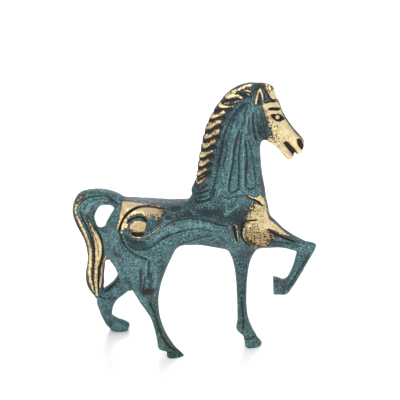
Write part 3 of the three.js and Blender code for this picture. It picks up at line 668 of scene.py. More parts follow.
# Stretches of polished metal with a thicker brownish film, and one of painted shade: [reach, amount,
# points].
FILMS_AND_PAINTED_SHADE = [
    [8, 1.6, [[29, 66], [34, 65]]],
    [6, 0.5, [[29, 76], [32, 80]]],
    [5, 1.3, [[-29, 71], [-27, 72]]],
    # Painted shade: dulls the metal on the top of the haunch, where it faces the light from above.
    [8, 2.6, [[-34, 84], [-17, 83]]],
    [5, 0.5, [[-16, 78], [-20, 80]]],
    [4, 0.5, [[-51, 70], [-50, 40]]],
    [4, 0.6, [[5, 96], [8, 124]]],
]

# Stretches where the mottling is softer: [reach, amount, points].
CALMS = [
    [9, 0.7, [[24, 128], [22, 112], [22, 98]]],
    [6, 0.3, [[14, 110], [12, 98]]],
]

# Greenish stretches, then stains of purple-brown oxide: [reach, amount, points].
GREENS = [
    [7, 1, [[-21, 28], [-17, 14], [-11, 3]]],
    [6, 0.6, [[24.4, 36], [24.6, 14], [30, 3]]],
    [4, 0.4, [[-58, 50], [-57, 36]]],
]
STAINS = [
    [2.8, 1.5, [[-25.4, 36.2], [-22.4, 36.6]]],
    [2.5, 0.9, [[-40.6, 56], [-38.4, 55]]],
    [1.5, 1, [[-42.4, 85.8], [-40.6, 85.6]]],
    [2.4, 0.8, [[-58.4, 72], [-55.6, 64], [-54.8, 55], [-55.4, 42], [-53.6, 30]]],
    [2.4, 0.8, [[-52.2, 62], [-51.2, 54], [-52.2, 40], [-51.4, 28]]],
    [2, 0.8, [[-47.4, 58], [-47.4, 50], [-49.2, 38]]],
    [5, 0.55, [[3, 94], [6, 112], [10, 128], [16, 138], [24, 143]]],
    [3, 0.7, [[30, 144], [33, 144.6]]],
    [1.5, 0.7, [[-27, 47], [-27.2, 40]]],
    [2, 0.9, [[45, 33.5], [45.4, 37]]],
    [3.5, 0.8, [[34, 96], [36, 88]]],
    [4, 0.5, [[33, 124], [34, 119]]],
    [5, 0.3, [[28, 127], [30, 118]]],
    [2, 0.8, [[-37.5, 65], [-36.5, 62]]],
    [5, 0.5, [[26, 58], [28, 56]]],
    [5, 0.4, [[5, 62], [12, 61]]],
    [4, 0.5, [[-14, 50], [-16, 42]]],
    [3, 0.65, [[38, 63], [44, 61]]],
    [3, 0.35, [[-14, 78], [-6, 77]]],
    [4, 0.35, [[12.6, 120], [10, 104]]],
    [3, 0.4, [[31, 132], [32.4, 128]]],
    [3, 0.4, [[24, 142], [30, 143]]],
    [3, 0.5, [[0.4, 91], [1.6, 87]]],
    [3, 0.6, [[22, 74], [24, 80]]],
]

# Where the changes at an outline's edge begin and end, measured inwards from the outline, then at a
# streak's edge, measured outwards from its half width.
FLAT_EDGE = [-1.5, 0.8]
PLATE_EDGE = [-0.5, 0.2]
PIT_EDGE = [-0.3, 0.4]
EYE_EDGE = [-0.2, 0.4]
STREAK_EDGE = [0.35, -0.1]

# The hollow of the eye begins and is full at these shares of its ball's radius.
BALL_EDGE = [0.7, 1.1]

# A carved line ends, and its darkness or paleness begins and is full, at these numbers of half widths
# from its middle.
GROOVE_END = 1.5
DARKNESS_EDGE = [1.6, 0.3]

# How a carved line, its darkness and the darkness of a cut line begin at their ends, as shares of the
# line's length. A cut line's darkness keeps a share of its width to the very end.
CARVED_END = [-0.03, 0.09]
DARKNESS_END = [-0.02, 0.08]
CUT_END = [0, 0.15]
CUT_END_WIDTH = 0.4

# The unevenness of the wax model, in two sizes of wave: [waves in a millimetre, share of the height].
WAX_WAVES = [[0.22, 0.7], [0.9, 0.3]]

# How squarely the surface has to face sideways for the carving to begin and to be full, for the finish of
# a flank to reach it, and for the crest to have no notches and to have full ones.
CARVED_SLOPE = [0.15, 0.55]
PAINTED_SLOPE = 0.02
NOTCH_SLOPE = [0.8, 0.3]

# A point that takes more than this share of the carving counts in the fit of a flat.
FITTED_SHARE = 0.9

# What the mesh stores for the material at each point, with the value where nothing is marked. The first
# two are distances inside a polished place and a cut line. Outside they are negative, down to the reach.
MARK_REACH = 3
MARKS = {
    "polish": -MARK_REACH,
    "cut": -MARK_REACH,
    "relief_and_painted_light": 0,
    "fleck": 0.2,
    "stain": 0,
    "green": 0,
    "film": 0,
    "calm": 0,
}

# Where a plate rolls over past its least slope, its polish runs out by this many millimetres to a whole unit
# of slope. For the first millimetre it stays at the level of the dark brown rim, partly rubbed wear and
# partly painted shade along the edge that turns away, and it is gone after it.
ROLL_OFF = 4
RUBBED_AND_EDGE_SHADE = -0.15

# The mane is darker within these distances of its crest, from where it begins to where it is full, and
# surfaces that face upwards by these slopes get painted shade against the light from above. The tops of
# the locks lie a little off their lines.
CREST_DARKNESS = 0.5
CREST_REACH = [9, 5]
UPWARD_PAINTED_SHADE = 0.7
UPPER_SLOPE = [0.3, 0.9]
LOCK_TOP_SHIFT = [-0.6, 1.4]

# The patterns of the finish, from broad drifts of colour to single grains, then the smears of the film
# on the metal: [size, layers of detail, roughness of the detail]. Then the gap between the pores of the
# casting, and how high the crust's grain stands.
PATTERNS = [[7.69, 3, 0.6], [4, 4, 0.6], [1.11, 5, 0.7], [0.667, 4, 0.7], [0.417, 3, 0.65], [2, 5, 0.7]]
PORE_GAP = 0.769
GRAIN_HEIGHT = 0.3

# Kinds of shader node that are used many times, with their settings.
RANGE = ("ShaderNodeMapRange", {"interpolation_type": "SMOOTHSTEP"})
MIX = ("ShaderNodeMix", {"data_type": "RGBA"})
ADD = ("ShaderNodeMath", {"operation": "ADD"})
SUBTRACT = ("ShaderNodeMath", {"operation": "SUBTRACT"})
MULTIPLY = ("ShaderNodeMath", {"operation": "MULTIPLY"})
MULTIPLY_ADD = ("ShaderNodeMath", {"operation": "MULTIPLY_ADD"})
MAXIMUM = ("ShaderNodeMath", {"operation": "MAXIMUM"})


def linear_colour(text):
    """An sRGB colour like "#rrggbb" as the linear red, green, blue and alpha that shaders use."""
    shares = [int(text[i:i + 2], 16) / 255 for i in (1, 3, 5)]
    return [s / 12.92 if s <= 0.04045 else ((s + 0.055) / 1.055) ** 2.4 for s in shares] + [1.0]


def smooth_step(low, high, values):
    """0 below low, 1 above high and an S-shaped rise between them."""
    share = np.clip((values - low) / (high - low), 0, 1)
    return share * share * (3 - 2 * share)


def spline(points, steps, power=0.5):
    """Points on a smooth curve through the given ones, steps to each span."""
    p = np.array(points, float)
    p = np.vstack([2 * p[0] - p[1], p, 2 * p[-1] - p[-2]])
    made = []
    for i in range(1, len(p) - 2):
        before, start, end, after = p[i - 1:i + 3]
        pairs = ((before, start), (start, end), (end, after))
        gaps = [max(np.linalg.norm(b - a), 1e-6) ** power for a, b in pairs]
        around = (end - before) / (gaps[0] + gaps[1])
        beyond = (after - start) / (gaps[1] + gaps[2])
        leave = ((start - before) / gaps[0] - around + (end - start) / gaps[1]) * gaps[1]
        arrive = ((end - start) / gaps[1] - beyond + (after - end) / gaps[2]) * gaps[1]
        for t in np.arange(steps) / steps:
            cubic = 2 * start - 2 * end + leave + arrive
            square = -3 * start + 3 * end - 2 * leave - arrive
            made.append(((cubic * t + square) * t + leave) * t + start)
    made.append(p[-2])
    return np.array(made)


def limb_rings(ribs, steps, flat_end):
    """Middle, half width vector and half depth of each ring along a limb, with its rounded ends."""
    ribs = np.array(ribs, float)
    upper = spline(ribs[:, [0, 4, 1]], steps)
    lower = spline(ribs[:, [2, 4, 3]], steps)
    depths = spline(np.column_stack([np.arange(len(ribs)), ribs[:, 5]]), steps, 0)[:, 1]
    rings = [((a + b) / 2, (b - a) / 2, d) for a, b, d in zip(upper, lower, depths)]

    def tip(end, inner):
        out = end[0] - inner[0]
        out /= np.linalg.norm(out)
        reach = out * end[2] * TIP_LENGTH
        turns = np.radians(np.linspace(0, 90, TIP_RINGS + 1)[1:])
        return [(end[0] + reach * math.sin(t), end[1] * math.cos(t), end[2] * math.cos(t)) for t in turns]

    first = tip(rings[0], rings[1])[::-1]
    last = [(rings[-1][0], rings[-1][1] * 0, 0.0)] if flat_end else tip(rings[-1], rings[-2])
    return first + rings + last


def add_limb(bm, ribs, power=2.3, narrowing=0, flat_end=False):
    """A limb as a closed skin: a grid that is rolled into a tube through the ribs' sections."""
    rings = limb_rings(ribs, RIB_STEPS, flat_end)
    made = bmesh.ops.create_grid(bm, x_segments=len(rings) - 1, y_segments=SIDES, size=1)["verts"]
    for vert in made:
        ring = rings[round((vert.co.x + 1) / 2 * (len(rings) - 1))]
        turn = (vert.co.y + 1) * math.pi
        fill = [math.copysign(abs(v) ** (2 / power), v) for v in (math.cos(turn), math.sin(turn))]
        place = ring[0] + ring[1] * fill[0]
        vert.co = (place[0], place[1] + ring[2] * fill[1] * (1 - narrowing * fill[0]), place[2])
    bmesh.ops.remove_doubles(bm, verts=made, dist=1e-4)


def lock_grooves():
    """The grooves between neighbouring locks, from the crest to the tips: [half width, depth, points]."""
    rows = []
    for upper, lower in zip(LOCKS[:-1], LOCKS[1:]):
        middle = (np.array(upper, float) + np.array(lower, float)) / 2
        root = middle[0] - (middle[1] - middle[0]) * LOCK_GROOVE_LEAD
        rows.append([LOCK_GROOVE_HALF_WIDTH, LOCK_GROOVE_DEPTH, [root, *middle]])
    return rows


def lock_strands():
    """A thin cut along the tip half of each lock: [half width, depth, points]."""
    return [[LOCK_STRAND_HALF_WIDTH, LOCK_STRAND_DEPTH, points[1:]] for points in LOCKS[1:]]


def groove(gap, half):
    """The share of a groove's depth at a distance from its middle line."""
    return np.clip(1 - (gap / (half * GROOVE_END)) ** 2, 0, 1) ** 1.5


def streak_half(halves, along):
    """The half width of a streak at a share of its length."""
    return np.interp(along, np.linspace(0, 1, len(halves)), halves)


def relaxed(places, edges, weights, passes):
    """The places after smoothing: each pass moves a point halfway to the middle of its neighbours."""
    moving = weights > 0
    used = moving[edges[:, 0]] | moving[edges[:, 1]]
    ends = np.concatenate([edges[used], edges[used][:, ::-1]])
    ends = ends[moving[ends[:, 0]]]
    neighbours = np.maximum(np.bincount(ends[:, 0], minlength=len(places)), 1)
    for _ in range(passes):
        for axis in range(3):
            middle = np.bincount(ends[:, 0], places[ends[:, 1], axis], len(places)) / neighbours
            places[moving, axis] += ((middle - places[:, axis]) * weights * 0.5)[moving]
    return places


def spot_weight(places, spots):
    """1 at the spots [x, z, radius], falling to 0 at their radius."""
    weight = np.zeros(len(places))
    for x, z, radius in spots:
        gap = np.linalg.norm(places[:, [0, 2]] - [x, z], axis=1)
        weight = np.maximum(weight, smooth_step(radius, radius * 0.4, gap))
    return weight


def fused_casting(sizes):
    """The bare casting as one mesh in millimetres: all limbs fused, with soft inner corners."""
    bm = bmesh.new()
    for ribs, power, narrowing in LIMBS:
        add_limb(bm, ribs, power, narrowing)
    add_limb(bm, RIGHT_FORE_SHIN, 2.6, flat_end=True)
    for side in (-1, 1):
        add_limb(bm, [[*rib[:4], rib[4] * side, rib[5]] for rib in EAR])
    bmesh.ops.recalc_face_normals(bm, faces=bm.faces)
    mesh = bpy.data.meshes.new("casting_blank")
    bm.to_mesh(mesh)
    bm.free()
    blank = bpy.data.objects.new("casting_blank", mesh)
    bpy.context.scene.collection.objects.link(blank)
    fuse = blank.modifiers.new("Fuse", "REMESH")
    fuse.mode = "VOXEL"
    fuse.voxel_size = sizes.fineness / MM
    made = baked_mesh(blank)
    bpy.data.objects.remove(blank)
    bpy.data.meshes.remove(mesh)
    edges = np.empty(len(made.edges) * 2, np.int32)
    made.edges.foreach_get("vertices", edges)
    edges = edges.reshape(-1, 2)
    places, _ = mesh_arrays(made)
    places = relaxed(places, edges, spot_weight(places, FILLETS), sizes.fillet_passes)
    places = relaxed(places, edges, 1 - CRISPNESS * spot_weight(places, CRISP), sizes.soften_passes)
    set_places(made, places)
    return made


def baked_mesh(item):
    """A new mesh with the object's modifiers applied."""
    bpy.context.view_layer.update()
    shown = item.evaluated_get(bpy.context.evaluated_depsgraph_get())
    return bpy.data.meshes.new_from_object(shown)


def mesh_arrays(mesh):
    """The places and the normals of a mesh's points."""
    places = np.empty(len(mesh.vertices) * 3, np.float32)
    normals = np.empty(len(mesh.vertices) * 3, np.float32)
    mesh.vertices.foreach_get("co", places)
    mesh.vertex_normals.foreach_get("vector", normals)
    return places.reshape(-1, 3).astype(float), normals.reshape(-1, 3).astype(float)


def set_places(mesh, places):
    """Moves a mesh's points."""
    mesh.vertices.foreach_set("co", places.astype(np.float32).ravel())
    mesh.update()


def line_field(points, places, reach):
    """Distance of each place [x, z] from a line, up to reach, and the share of its length there."""
    path = spline(points, LINE_STEPS)
    low, high = path.min(axis=0) - reach, path.max(axis=0) + reach
    near = np.flatnonzero(((places > low) & (places < high)).all(axis=1))
    here = places[near]
    best = np.full(len(near), float(reach))
    share = np.zeros(len(near))
    steps = np.linalg.norm(np.diff(path, axis=0), axis=1)
    begin = np.concatenate([[0], np.cumsum(steps)])
    for start, end, run, step in zip(path[:-1], path[1:], begin, steps):
        way = (end - start) / max(step, 1e-9)
        t = np.clip((here - start) @ way, 0, step)
        gap = np.linalg.norm(here - start - t[:, None] * way, axis=1)
        closer = gap < best
        best[closer] = gap[closer]
        share[closer] = ((run + t) / begin[-1])[closer]
    return near, best, share


def outline_field(outline, places, reach):
    """How far each place [x, z] is inside an outline. Outside it is negative, down to -reach."""
    corners = np.array(outline, float)
    low, high = corners.min(axis=0) - reach, corners.max(axis=0) + reach
    near = np.flatnonzero(((places > low) & (places < high)).all(axis=1))
    here = places[near]
    gap = np.full(len(near), float(reach) * 4)
    inside = np.zeros(len(near), bool)
    for start, end in zip(corners, np.roll(corners, -1, axis=0)):
        way = end - start
        t = np.clip((here - start) @ way / (way @ way), 0, 1)
        gap = np.minimum(gap, np.linalg.norm(here - start - t[:, None] * way, axis=1))
        crosses = (start[1] > here[:, 1]) != (end[1] > here[:, 1])
        with np.errstate(divide="ignore", invalid="ignore"):
            cut = start[0] + (here[:, 1] - start[1]) / (end[1] - start[1]) * way[0]
        inside ^= crosses & (here[:, 0] < cut)
    return near, np.where(inside, gap, -np.minimum(gap, reach))


def flank_places(places):
    """Each point's place [x, z] in the tables of the flanks."""
    drawn = places[:, [0, 2]].copy()
    rise = np.zeros(len(places))
    for x, z, radius, depth in LEANS:
        lean = spot_weight(places, [[x, z, radius]]) * (depth - np.abs(places[:, 1])) * LEAN
        rise = np.maximum(rise, lean)
    drawn[:, 1] += rise
    return drawn


def side_plates(side):
    """The polished plates of one side, right (-1) or left (1)."""
    return PLATES if side < 0 else LEFT_PLATES


def flatten(level, flat, facing):
    """Moves the sideways places of a flank's points towards a smooth dish fitted to each worn stretch."""
    for amount, outline in FLATS:
        near, depth = outline_field(outline, flat, 2)
        weight = smooth_step(*FLAT_EDGE, depth) * facing[near]
        inner = (depth > 0) & (facing[near] > FITTED_SHARE)
        x, z = flat[near].T
        terms = np.column_stack([np.ones(len(near)), x, z, x ** 2, z ** 2])
        fit = np.linalg.lstsq(terms[inner], level[near][inner], rcond=None)[0]
        level[near] += (terms @ fit - level[near]) * weight * amount
    return level


def carved_height(side, flat, sizes):
    """How far the ornament stands out of a flank at each place [x, z]. Below 0 it is cut in."""
    outward = np.zeros(len(flat))
    for _, outline in side_plates(side):
        near, depth = outline_field(outline, flat, 1)
        outward[near] += smooth_step(*PLATE_EDGE, depth) * sizes.plate_height / MM
    for pit, outline in SHADED_PITS:
        near, depth = outline_field(outline, flat, 1)
        outward[near] -= pit * smooth_step(*PIT_EDGE, depth)
    for depth, soft, _, outline in HOLLOWS:
        near, inside = outline_field(outline, flat, soft)
        outward[near] -= depth * smooth_step(-soft * 0.4, soft, inside)
    for rows, sign in ((CUTS + lock_strands(), -1), (CREASES, -1), (lock_grooves(), -1), (RISES, 1)):
        for half, depth, points in rows:
            near, gap, along = line_field(points, flat, half * 1.6)
            ends = smooth_step(*CARVED_END, np.minimum(along, 1 - along))
            outward[near] += sign * depth * groove(gap, half) * ends * sizes.line_depth
    for halves, points in STREAKS:
        near, gap, along = line_field(points, flat, 1.8)
        half = streak_half(halves, along)
        edge = smooth_step(half + STREAK_EDGE[0], half + STREAK_EDGE[1], gap)
        outward[near] += sizes.streak_height / MM * edge
    near, inside = outline_field(EYE_OUTLINE, flat, 0.6)
    ball = np.linalg.norm(flat[near] - EYE_BALL[:2], axis=1) / EYE_BALL[2]
    outward[near] -= EYE_DEPTH * smooth_step(*EYE_EDGE, inside) * smooth_step(*BALL_EDGE, ball)
    return outward


def carve(mesh, sizes):
    """Cuts the lines, hollows and flats into both flanks. Points move only sideways."""
    places, normals = mesh_arrays(mesh)
    for side in (-1, 1):
        facing = smooth_step(*CARVED_SLOPE, normals[:, 1] * side)
        chosen = np.flatnonzero(facing > 0)
        facing = facing[chosen]
        level = flatten(places[chosen, 1].copy(), flank_places(places[chosen]), facing)
        flat = flank_places(np.column_stack([places[chosen, 0], level, places[chosen, 2]]))
        outward = carved_height(side, flat, sizes)
        places[chosen, 1] += (level - places[chosen, 1]) + outward * side * facing
    set_places(mesh, places)


def notch_crest(mesh):
    """Notches the crest of the mane between its locks."""
    places, normals = mesh_arrays(mesh)
    for half, _, points in lock_grooves():
        near, gap, _ = line_field(points[:2], places[:, [0, 2]], half * 1.6)
        dip = groove(gap, half) * smooth_step(*NOTCH_SLOPE, np.abs(normals[near, 1]))
        places[near] -= normals[near] * (CREST_NOTCH * dip)[:, None]
    set_places(mesh, places)


def roughen(mesh, sizes):
    """The slight unevenness of a hand-made wax model."""
    places, normals = mesh_arrays(mesh)
    rise = np.zeros(len(places))
    for waves, share in WAX_WAVES:
        rise += share * np.array([noise.noise(Vector(place) * waves) for place in places])
    places += normals * (rise * sizes.unevenness / MM)[:, None]
    set_places(mesh, places)


def paint(mesh):
    """Stores where the metal is polished, cut, hollow, raised, flecked and stained, and where shade and
    highlights are painted, for the material.
    """
    places, normals = mesh_arrays(mesh)
    marks = {name: np.full(len(places), float(unmarked)) for name, unmarked in MARKS.items()}

    def lift(name, where, level):
        marks[name][where] = np.maximum(marks[name][where], level)

    for side in (-1, 1):
        chosen = np.flatnonzero(normals[:, 1] * side > PAINTED_SLOPE)
        slope = normals[chosen, 1] * side
        flat = flank_places(places[chosen])
        for limit, outline in side_plates(side):
            near, inside = outline_field(outline, flat, MARK_REACH)
            # As a plate rolls away, its dark brown rim is partly rubbed wear and partly painted shade along
            # the turned edge.
            rolled = (slope[near] - limit) * ROLL_OFF
            rolled = np.where(rolled > -1, np.maximum(rolled, RUBBED_AND_EDGE_SHADE), rolled)
            lift("polish", chosen[near], np.minimum(inside, rolled))
        for halves, points in STREAKS:
            near, gap, along = line_field(points, flat, MARK_REACH)
            lift("polish", chosen[near], streak_half(halves, along) - gap)
        for half, _, points in CUTS + lock_strands():
            near, gap, along = line_field(points, flat, MARK_REACH)
            ends = smooth_step(*CUT_END, np.minimum(along, 1 - along))
            taper = CUT_END_WIDTH + (1 - CUT_END_WIDTH) * ends
            lift("cut", chosen[near], half * taper - gap)
        # The pits are painted dark brown like the cuts, as painted shade.
        for _, outline in SHADED_PITS:
            near, inside = outline_field(outline, flat, MARK_REACH)
            lift("cut", chosen[near], inside)
        near, inside = outline_field(EYE_OUTLINE, flat, MARK_REACH)
        ball = np.linalg.norm(flat[near] - EYE_BALL[:2], axis=1) - EYE_BALL[2]
        lift("cut", chosen[near], np.minimum(inside, ball))
        for _, soft, amount, outline in HOLLOWS:
            near, inside = outline_field(outline, flat, soft)
            marks["relief_and_painted_light"][chosen[near]] -= amount * smooth_step(-soft * 0.5, soft, inside)
        # Cut lines and grooves are darker, and the rises get a painted highlight.
        lines = ((CREASES, -LINE_DARKNESS), (lock_grooves(), -LINE_DARKNESS), (RISES, RISE_PAINTED_HIGHLIGHT))
        for rows, tone in lines:
            for half, depth, points in rows:
                near, gap, along = line_field(points, flat, half * 2)
                ends = smooth_step(*DARKNESS_END, np.minimum(along, 1 - along))
                edge = smooth_step(half * DARKNESS_EDGE[0], half * DARKNESS_EDGE[1], gap)
                marks["relief_and_painted_light"][chosen[near]] += tone * depth * edge * ends
        for reach, amount, points in MOTTLES_AND_PAINTED_LIGHT:
            near, gap, _ = line_field(points, flat, reach)
            marks["relief_and_painted_light"][chosen[near]] += amount * smooth_step(reach, 0, gap)
        lock_tops = [[*LOCK_FLECK, np.array(points) + LOCK_TOP_SHIFT] for points in LOCKS]
        spreads = (("fleck", FLECKS + lock_tops), ("stain", STAINS), ("green", GREENS), ("film", FILMS_AND_PAINTED_SHADE),
                   ("calm", CALMS))
        for name, rows in spreads:
            for reach, amount, points in rows:
                near, gap, _ = line_field(points, flat, reach)
                lift(name, chosen[near], amount * smooth_step(reach, reach * 0.3, gap))
    # The mane is darker, and the surfaces that face upwards get painted shade.
    crest = spline([points[0] for points in LOCKS], LINE_STEPS)
    gap = np.min([np.linalg.norm(places[:, [0, 2]] - place, axis=1) for place in crest], axis=0)
    marks["relief_and_painted_light"] -= CREST_DARKNESS * smooth_step(*CREST_REACH, gap)
    marks["relief_and_painted_light"] -= UPWARD_PAINTED_SHADE * smooth_step(*UPPER_SLOPE, normals[:, 2])
    for name, values in marks.items():
        layer = mesh.attributes.new(name, "FLOAT", "POINT")
        layer.data.foreach_set("value", values.astype(np.float32))


def thinned(mesh, limit):
    """The mesh with at most limit triangles."""
    mesh.calc_loop_triangles()
    item = bpy.data.objects.new("casting_thinning", mesh)
    bpy.context.scene.collection.objects.link(item)
    thin = item.modifiers.new("Thin", "DECIMATE")
    thin.ratio = min(1.0, limit / len(mesh.loop_triangles))
    made = baked_mesh(item)
    bpy.data.objects.remove(item)
    bpy.data.meshes.remove(mesh)
    return made


def stand_flat(mesh):
    """Cuts the hooves level with the ground and closes their soles."""
    bm = bmesh.new()
    bm.from_mesh(mesh)
    everything = bm.verts[:] + bm.edges[:] + bm.faces[:]
    cut = bmesh.ops.bisect_plane(bm, geom=everything, dist=1e-4, plane_no=(0, 0, -1), clear_outer=True)
    rim = [e for e in cut["geom_cut"] if isinstance(e, bmesh.types.BMEdge)]
    bmesh.ops.holes_fill(bm, edges=rim, sides=0)
    bmesh.ops.triangulate(bm, faces=[f for f in bm.faces if len(f.verts) > 4])
    bm.to_mesh(mesh)
    bm.free()


def add_node(tree, kind, values=(), **settings):
    """A new node of a type, or of a pair of a type and its settings, with its fixed inputs and links.

    The values are a list in the order of the sockets in use, or a dictionary by the sockets' names. A
    value that is a node stands for that node's first output in use.
    """
    name, fixed = kind if isinstance(kind, tuple) else (kind, {})
    made = tree.nodes.new(name)
    for setting, value in (fixed | settings).items():
        setattr(made, setting, value)
    if isinstance(values, dict):
        pairs = [(made.inputs[socket], value) for socket, value in values.items()]
    else:
        pairs = list(zip([socket for socket in made.inputs if socket.enabled], values))
    for socket, value in pairs:
        if isinstance(value, bpy.types.Node):
            value = next(output for output in value.outputs if output.enabled)
        if isinstance(value, bpy.types.NodeSocket):
            tree.links.new(value, socket)
        else:
            socket.default_value = value
    return made


def patinated_bronze(colours):
    """Cast bronze, chemically patinated blue-green, waxed, then polished back on its high places.

    The patina is a thin matt crust, mottled in grains of half a millimetre up to drifts of eight, and dark
    where it lies thick in the cuts. Painted shade darkens the faces that look upwards, the pits and the
    edges that turn away, and painted highlights pale the ridges. The polished metal is pale, warm and
    half-bright, with dark flecks of patina left in its pores and bare copper brown along its edges; painted
    shade dulls it on the top of the haunch.
    """
    material = bpy.data.materials.new("patinated_bronze_waxed")
    material.use_nodes = True
    tree = material.node_tree
    tree.nodes.clear()
    add = partial(add_node, tree)
    marks = {name: add("ShaderNodeAttribute", attribute_name=name).outputs["Fac"] for name in MARKS}
    coordinates = add("ShaderNodeTexCoord").outputs["Object"]
    place = add("ShaderNodeVectorMath", [coordinates, (1 / MM, 1 / MM, 1 / MM)], operation="MULTIPLY")
    drift, clouds, spots, flecks, grains, smears = (
        add("ShaderNodeTexNoise", {"Vector": place, "Scale": 1 / size, "Detail": detail, "Roughness": rough})
        for size, detail, rough in PATTERNS)
    cell = add("ShaderNodeTexVoronoi", {"Vector": place, "Scale": 1 / PORE_GAP})

    # How pale the crust is: its relief with its painted shade and painted highlights, and its pores, then
    # the patterns on it, less where it is calm.
    tone = add(MULTIPLY_ADD, [marks["relief_and_painted_light"], 0.42, 0.5])
    tone = add(SUBTRACT, [tone, add(RANGE, [cell, 0.1, 0.35, 0.22, 0])])
    for pattern, weight in ((clouds, 0.6), (spots, 0.6), (grains, 4.8)):
        tone = add(ADD, [tone, add(MULTIPLY_ADD, [pattern, weight, -weight / 2])])
    lively = add(SUBTRACT, [1, marks["calm"]])
    tone = add(ADD, [tone, add(MULTIPLY, [lively, add(MULTIPLY_ADD, [flecks, 2.3, -1.15])])])

    # The crust from dark to pale, with purple-brown drifts, stains of oxide and greenish stretches.
    crust = add(MIX, [add(RANGE, [tone, -0.15, 0.42]), colours.deep_verdigris, colours.slate])
    crust = add(MIX, [add(RANGE, [tone, 0.35, 0.65]), crust, colours.verdigris])
    crust = add(MIX, [add(RANGE, [tone, 0.6, 1]), crust, colours.pale_verdigris])
    crust = add(MIX, [add(RANGE, [drift, 0.54, 0.7, 0, 0.5]), crust, colours.purple_brown])
    stained = add(MULTIPLY, [marks["stain"], add(RANGE, [spots, 0.36, 0.56, 0.35, 0.95])])
    oxide = add(MIX, [add(RANGE, [tone, 0, 0.6]), colours.dark_brown, colours.purple_brown])
    crust = add(MIX, [stained, crust, oxide])
    mossy = add(MULTIPLY, [marks["green"], add(RANGE, [clouds, 0.35, 0.65, 0.4, 0.9])])
    moss = add(MIX, [add(RANGE, [tone, 0.1, 0.9]), colours.deep_moss, colours.moss])
    crust = add(MIX, [mossy, crust, moss])

    # Polished metal, with brownish film left on it here and there, and painted shade dulling the top of the
    # haunch.
    film = add(ADD, [marks["film"], add(RANGE, [smears, 0.4, 0.66, -0.15, 0.75])])
    metal = add(MIX, [add(RANGE, [film, 0, 1.3]), colours.polished, colours.polished_warm])
    metal = add(MIX, [add(RANGE, [film, 1.3, 2.8]), metal, colours.tarnished])

    # The edge between them is ragged, and flecks of crust stay in the pores of the metal.
    ragged = add(RANGE, [grains, 0.3, 0.7, -0.15, 0.15])
    bitten = add(MULTIPLY, [marks["fleck"], add(RANGE, [spots, 0.4, 0.65, -0.2, 1.1])])
    edge = add(ADD, [add(SUBTRACT, [marks["polish"], bitten]), ragged])
    is_metal = add(RANGE, [edge, -0.12, 0.12])
    pore = add(MULTIPLY, [marks["fleck"], add(RANGE, [flecks, 0.4, 0.62, 0.06, 0.6])])
    pore = add(ADD, [add(SUBTRACT, [pore, cell]), add(RANGE, [grains, 0.35, 0.65, -0.12, 0.12])])
    in_pore = add(RANGE, [pore, -0.04, 0.03])
    # Cut lines are dark brown at the bottom; the pits are painted shade in the same brown.
    is_cut_or_shaded_pit = add(RANGE, [add(ADD, [marks["cut"], ragged]), -0.15, 0.15])
    for hidden in (in_pore, is_cut_or_shaded_pit):
        is_metal = add(MULTIPLY, [is_metal, add(SUBTRACT, [1, hidden])])

    # Round the metal the crust is rubbed brown, with bare copper showing in spots. Along edges that turn
    # away the brown band is also painted shade.
    rim = add(RANGE, [marks["polish"], -0.7, -0.05])
    crust = add(MIX, [add(MULTIPLY, [rim, 0.92]), crust, colours.dark_brown])
    bare = add(MULTIPLY, [rim, add(RANGE, [spots, 0.46, 0.6, 0, 0.75])])
    crust = add(MIX, [bare, crust, colours.copper_red])
    crust = add(MIX, [add(MAXIMUM, [is_cut_or_shaded_pit, add(MULTIPLY, [in_pore, rim])]), crust, colours.dark_brown])

    # The grain stands out on the crust and is nearly worn off on the metal, which lies higher.
    height = add(ADD, [add(MULTIPLY, [spots, 0.6]), add(MULTIPLY, [flecks, 0.6])])
    height = add(ADD, [height, add(MULTIPLY, [grains, 0.3])])
    height = add(MULTIPLY, [height, add(RANGE, [is_metal, 0, 1, 1, 0.2])])
    height = add(ADD, [height, add(MULTIPLY, [is_metal, 0.4])])
    unevenness = add(RANGE, [spots, 0.3, 0.7, -0.06, 0.1])
    shader = add("ShaderNodeBsdfPrincipled", {
        "Base Color": add(MIX, [is_metal, crust, metal]),
        "Metallic": add(RANGE, [is_metal, 0, 1, 0.15, 1]),
        "Roughness": add(ADD, [add(RANGE, [is_metal, 0, 1, 0.5, 0.36]), unevenness]),
        "Normal": add("ShaderNodeBump", {"Height": height, "Strength": 0.9, "Distance": GRAIN_HEIGHT * MM}),
        "Specular IOR Level": 0.2,
        "Coat Weight": 0.1,
        "Coat Roughness": 0.3,
    })
    add("ShaderNodeOutputMaterial", {"Surface": shader})
    return material


def length(name, description, default):
    """A length in metres for a panel."""
    return bpy.props.FloatProperty(name=name, description=description, default=default, unit="LENGTH",
                                   precision=5)


def factor(name, description, default):
    """A share or factor for a panel."""
    return bpy.props.FloatProperty(name=name, description=description, default=default, subtype="FACTOR",
                                   min=0, soft_max=1)


def wattage(name, description, default):
    """A light's power in watts for a panel."""
    return bpy.props.FloatProperty(name=name, description=description, default=default, unit="POWER")


def count(name, description, default, least=0):
    """A whole number for a panel."""
    return bpy.props.IntProperty(name=name, description=description, default=default, min=least)


def colour(name, description, text):
    """A colour for a panel, from its sRGB hex value."""
    return bpy.props.FloatVectorProperty(name=name, description=description, default=linear_colour(text),
                                         subtype="COLOR", size=4, min=0, max=1)


class HorseCasting(bpy.types.PropertyGroup):
    """Sizes of the casting."""
    fineness: length("Fineness", "Size of the mesh grid that fuses the limbs", 0.0003)
    soften_passes: count("Softening", "Smoothing passes for the whole casting", 7)
    fillet_passes: count("Fillets", "Smoothing passes where limbs meet", 200)
    plate_height: length("Plate height", "How far the polished plates stand out", 0.0002)
    streak_height: length("Streak height", "How far the polished strands stand out", 0.0003)
    unevenness: length("Unevenness", "Height of the hand-made unevenness", 0.00014)
    line_depth: factor("Line depth", "Depth of all cut lines, as a share of their tables", 1.0)
    triangle_limit: count("Triangles", "Most triangles in the finished mesh", 195000, 1000)


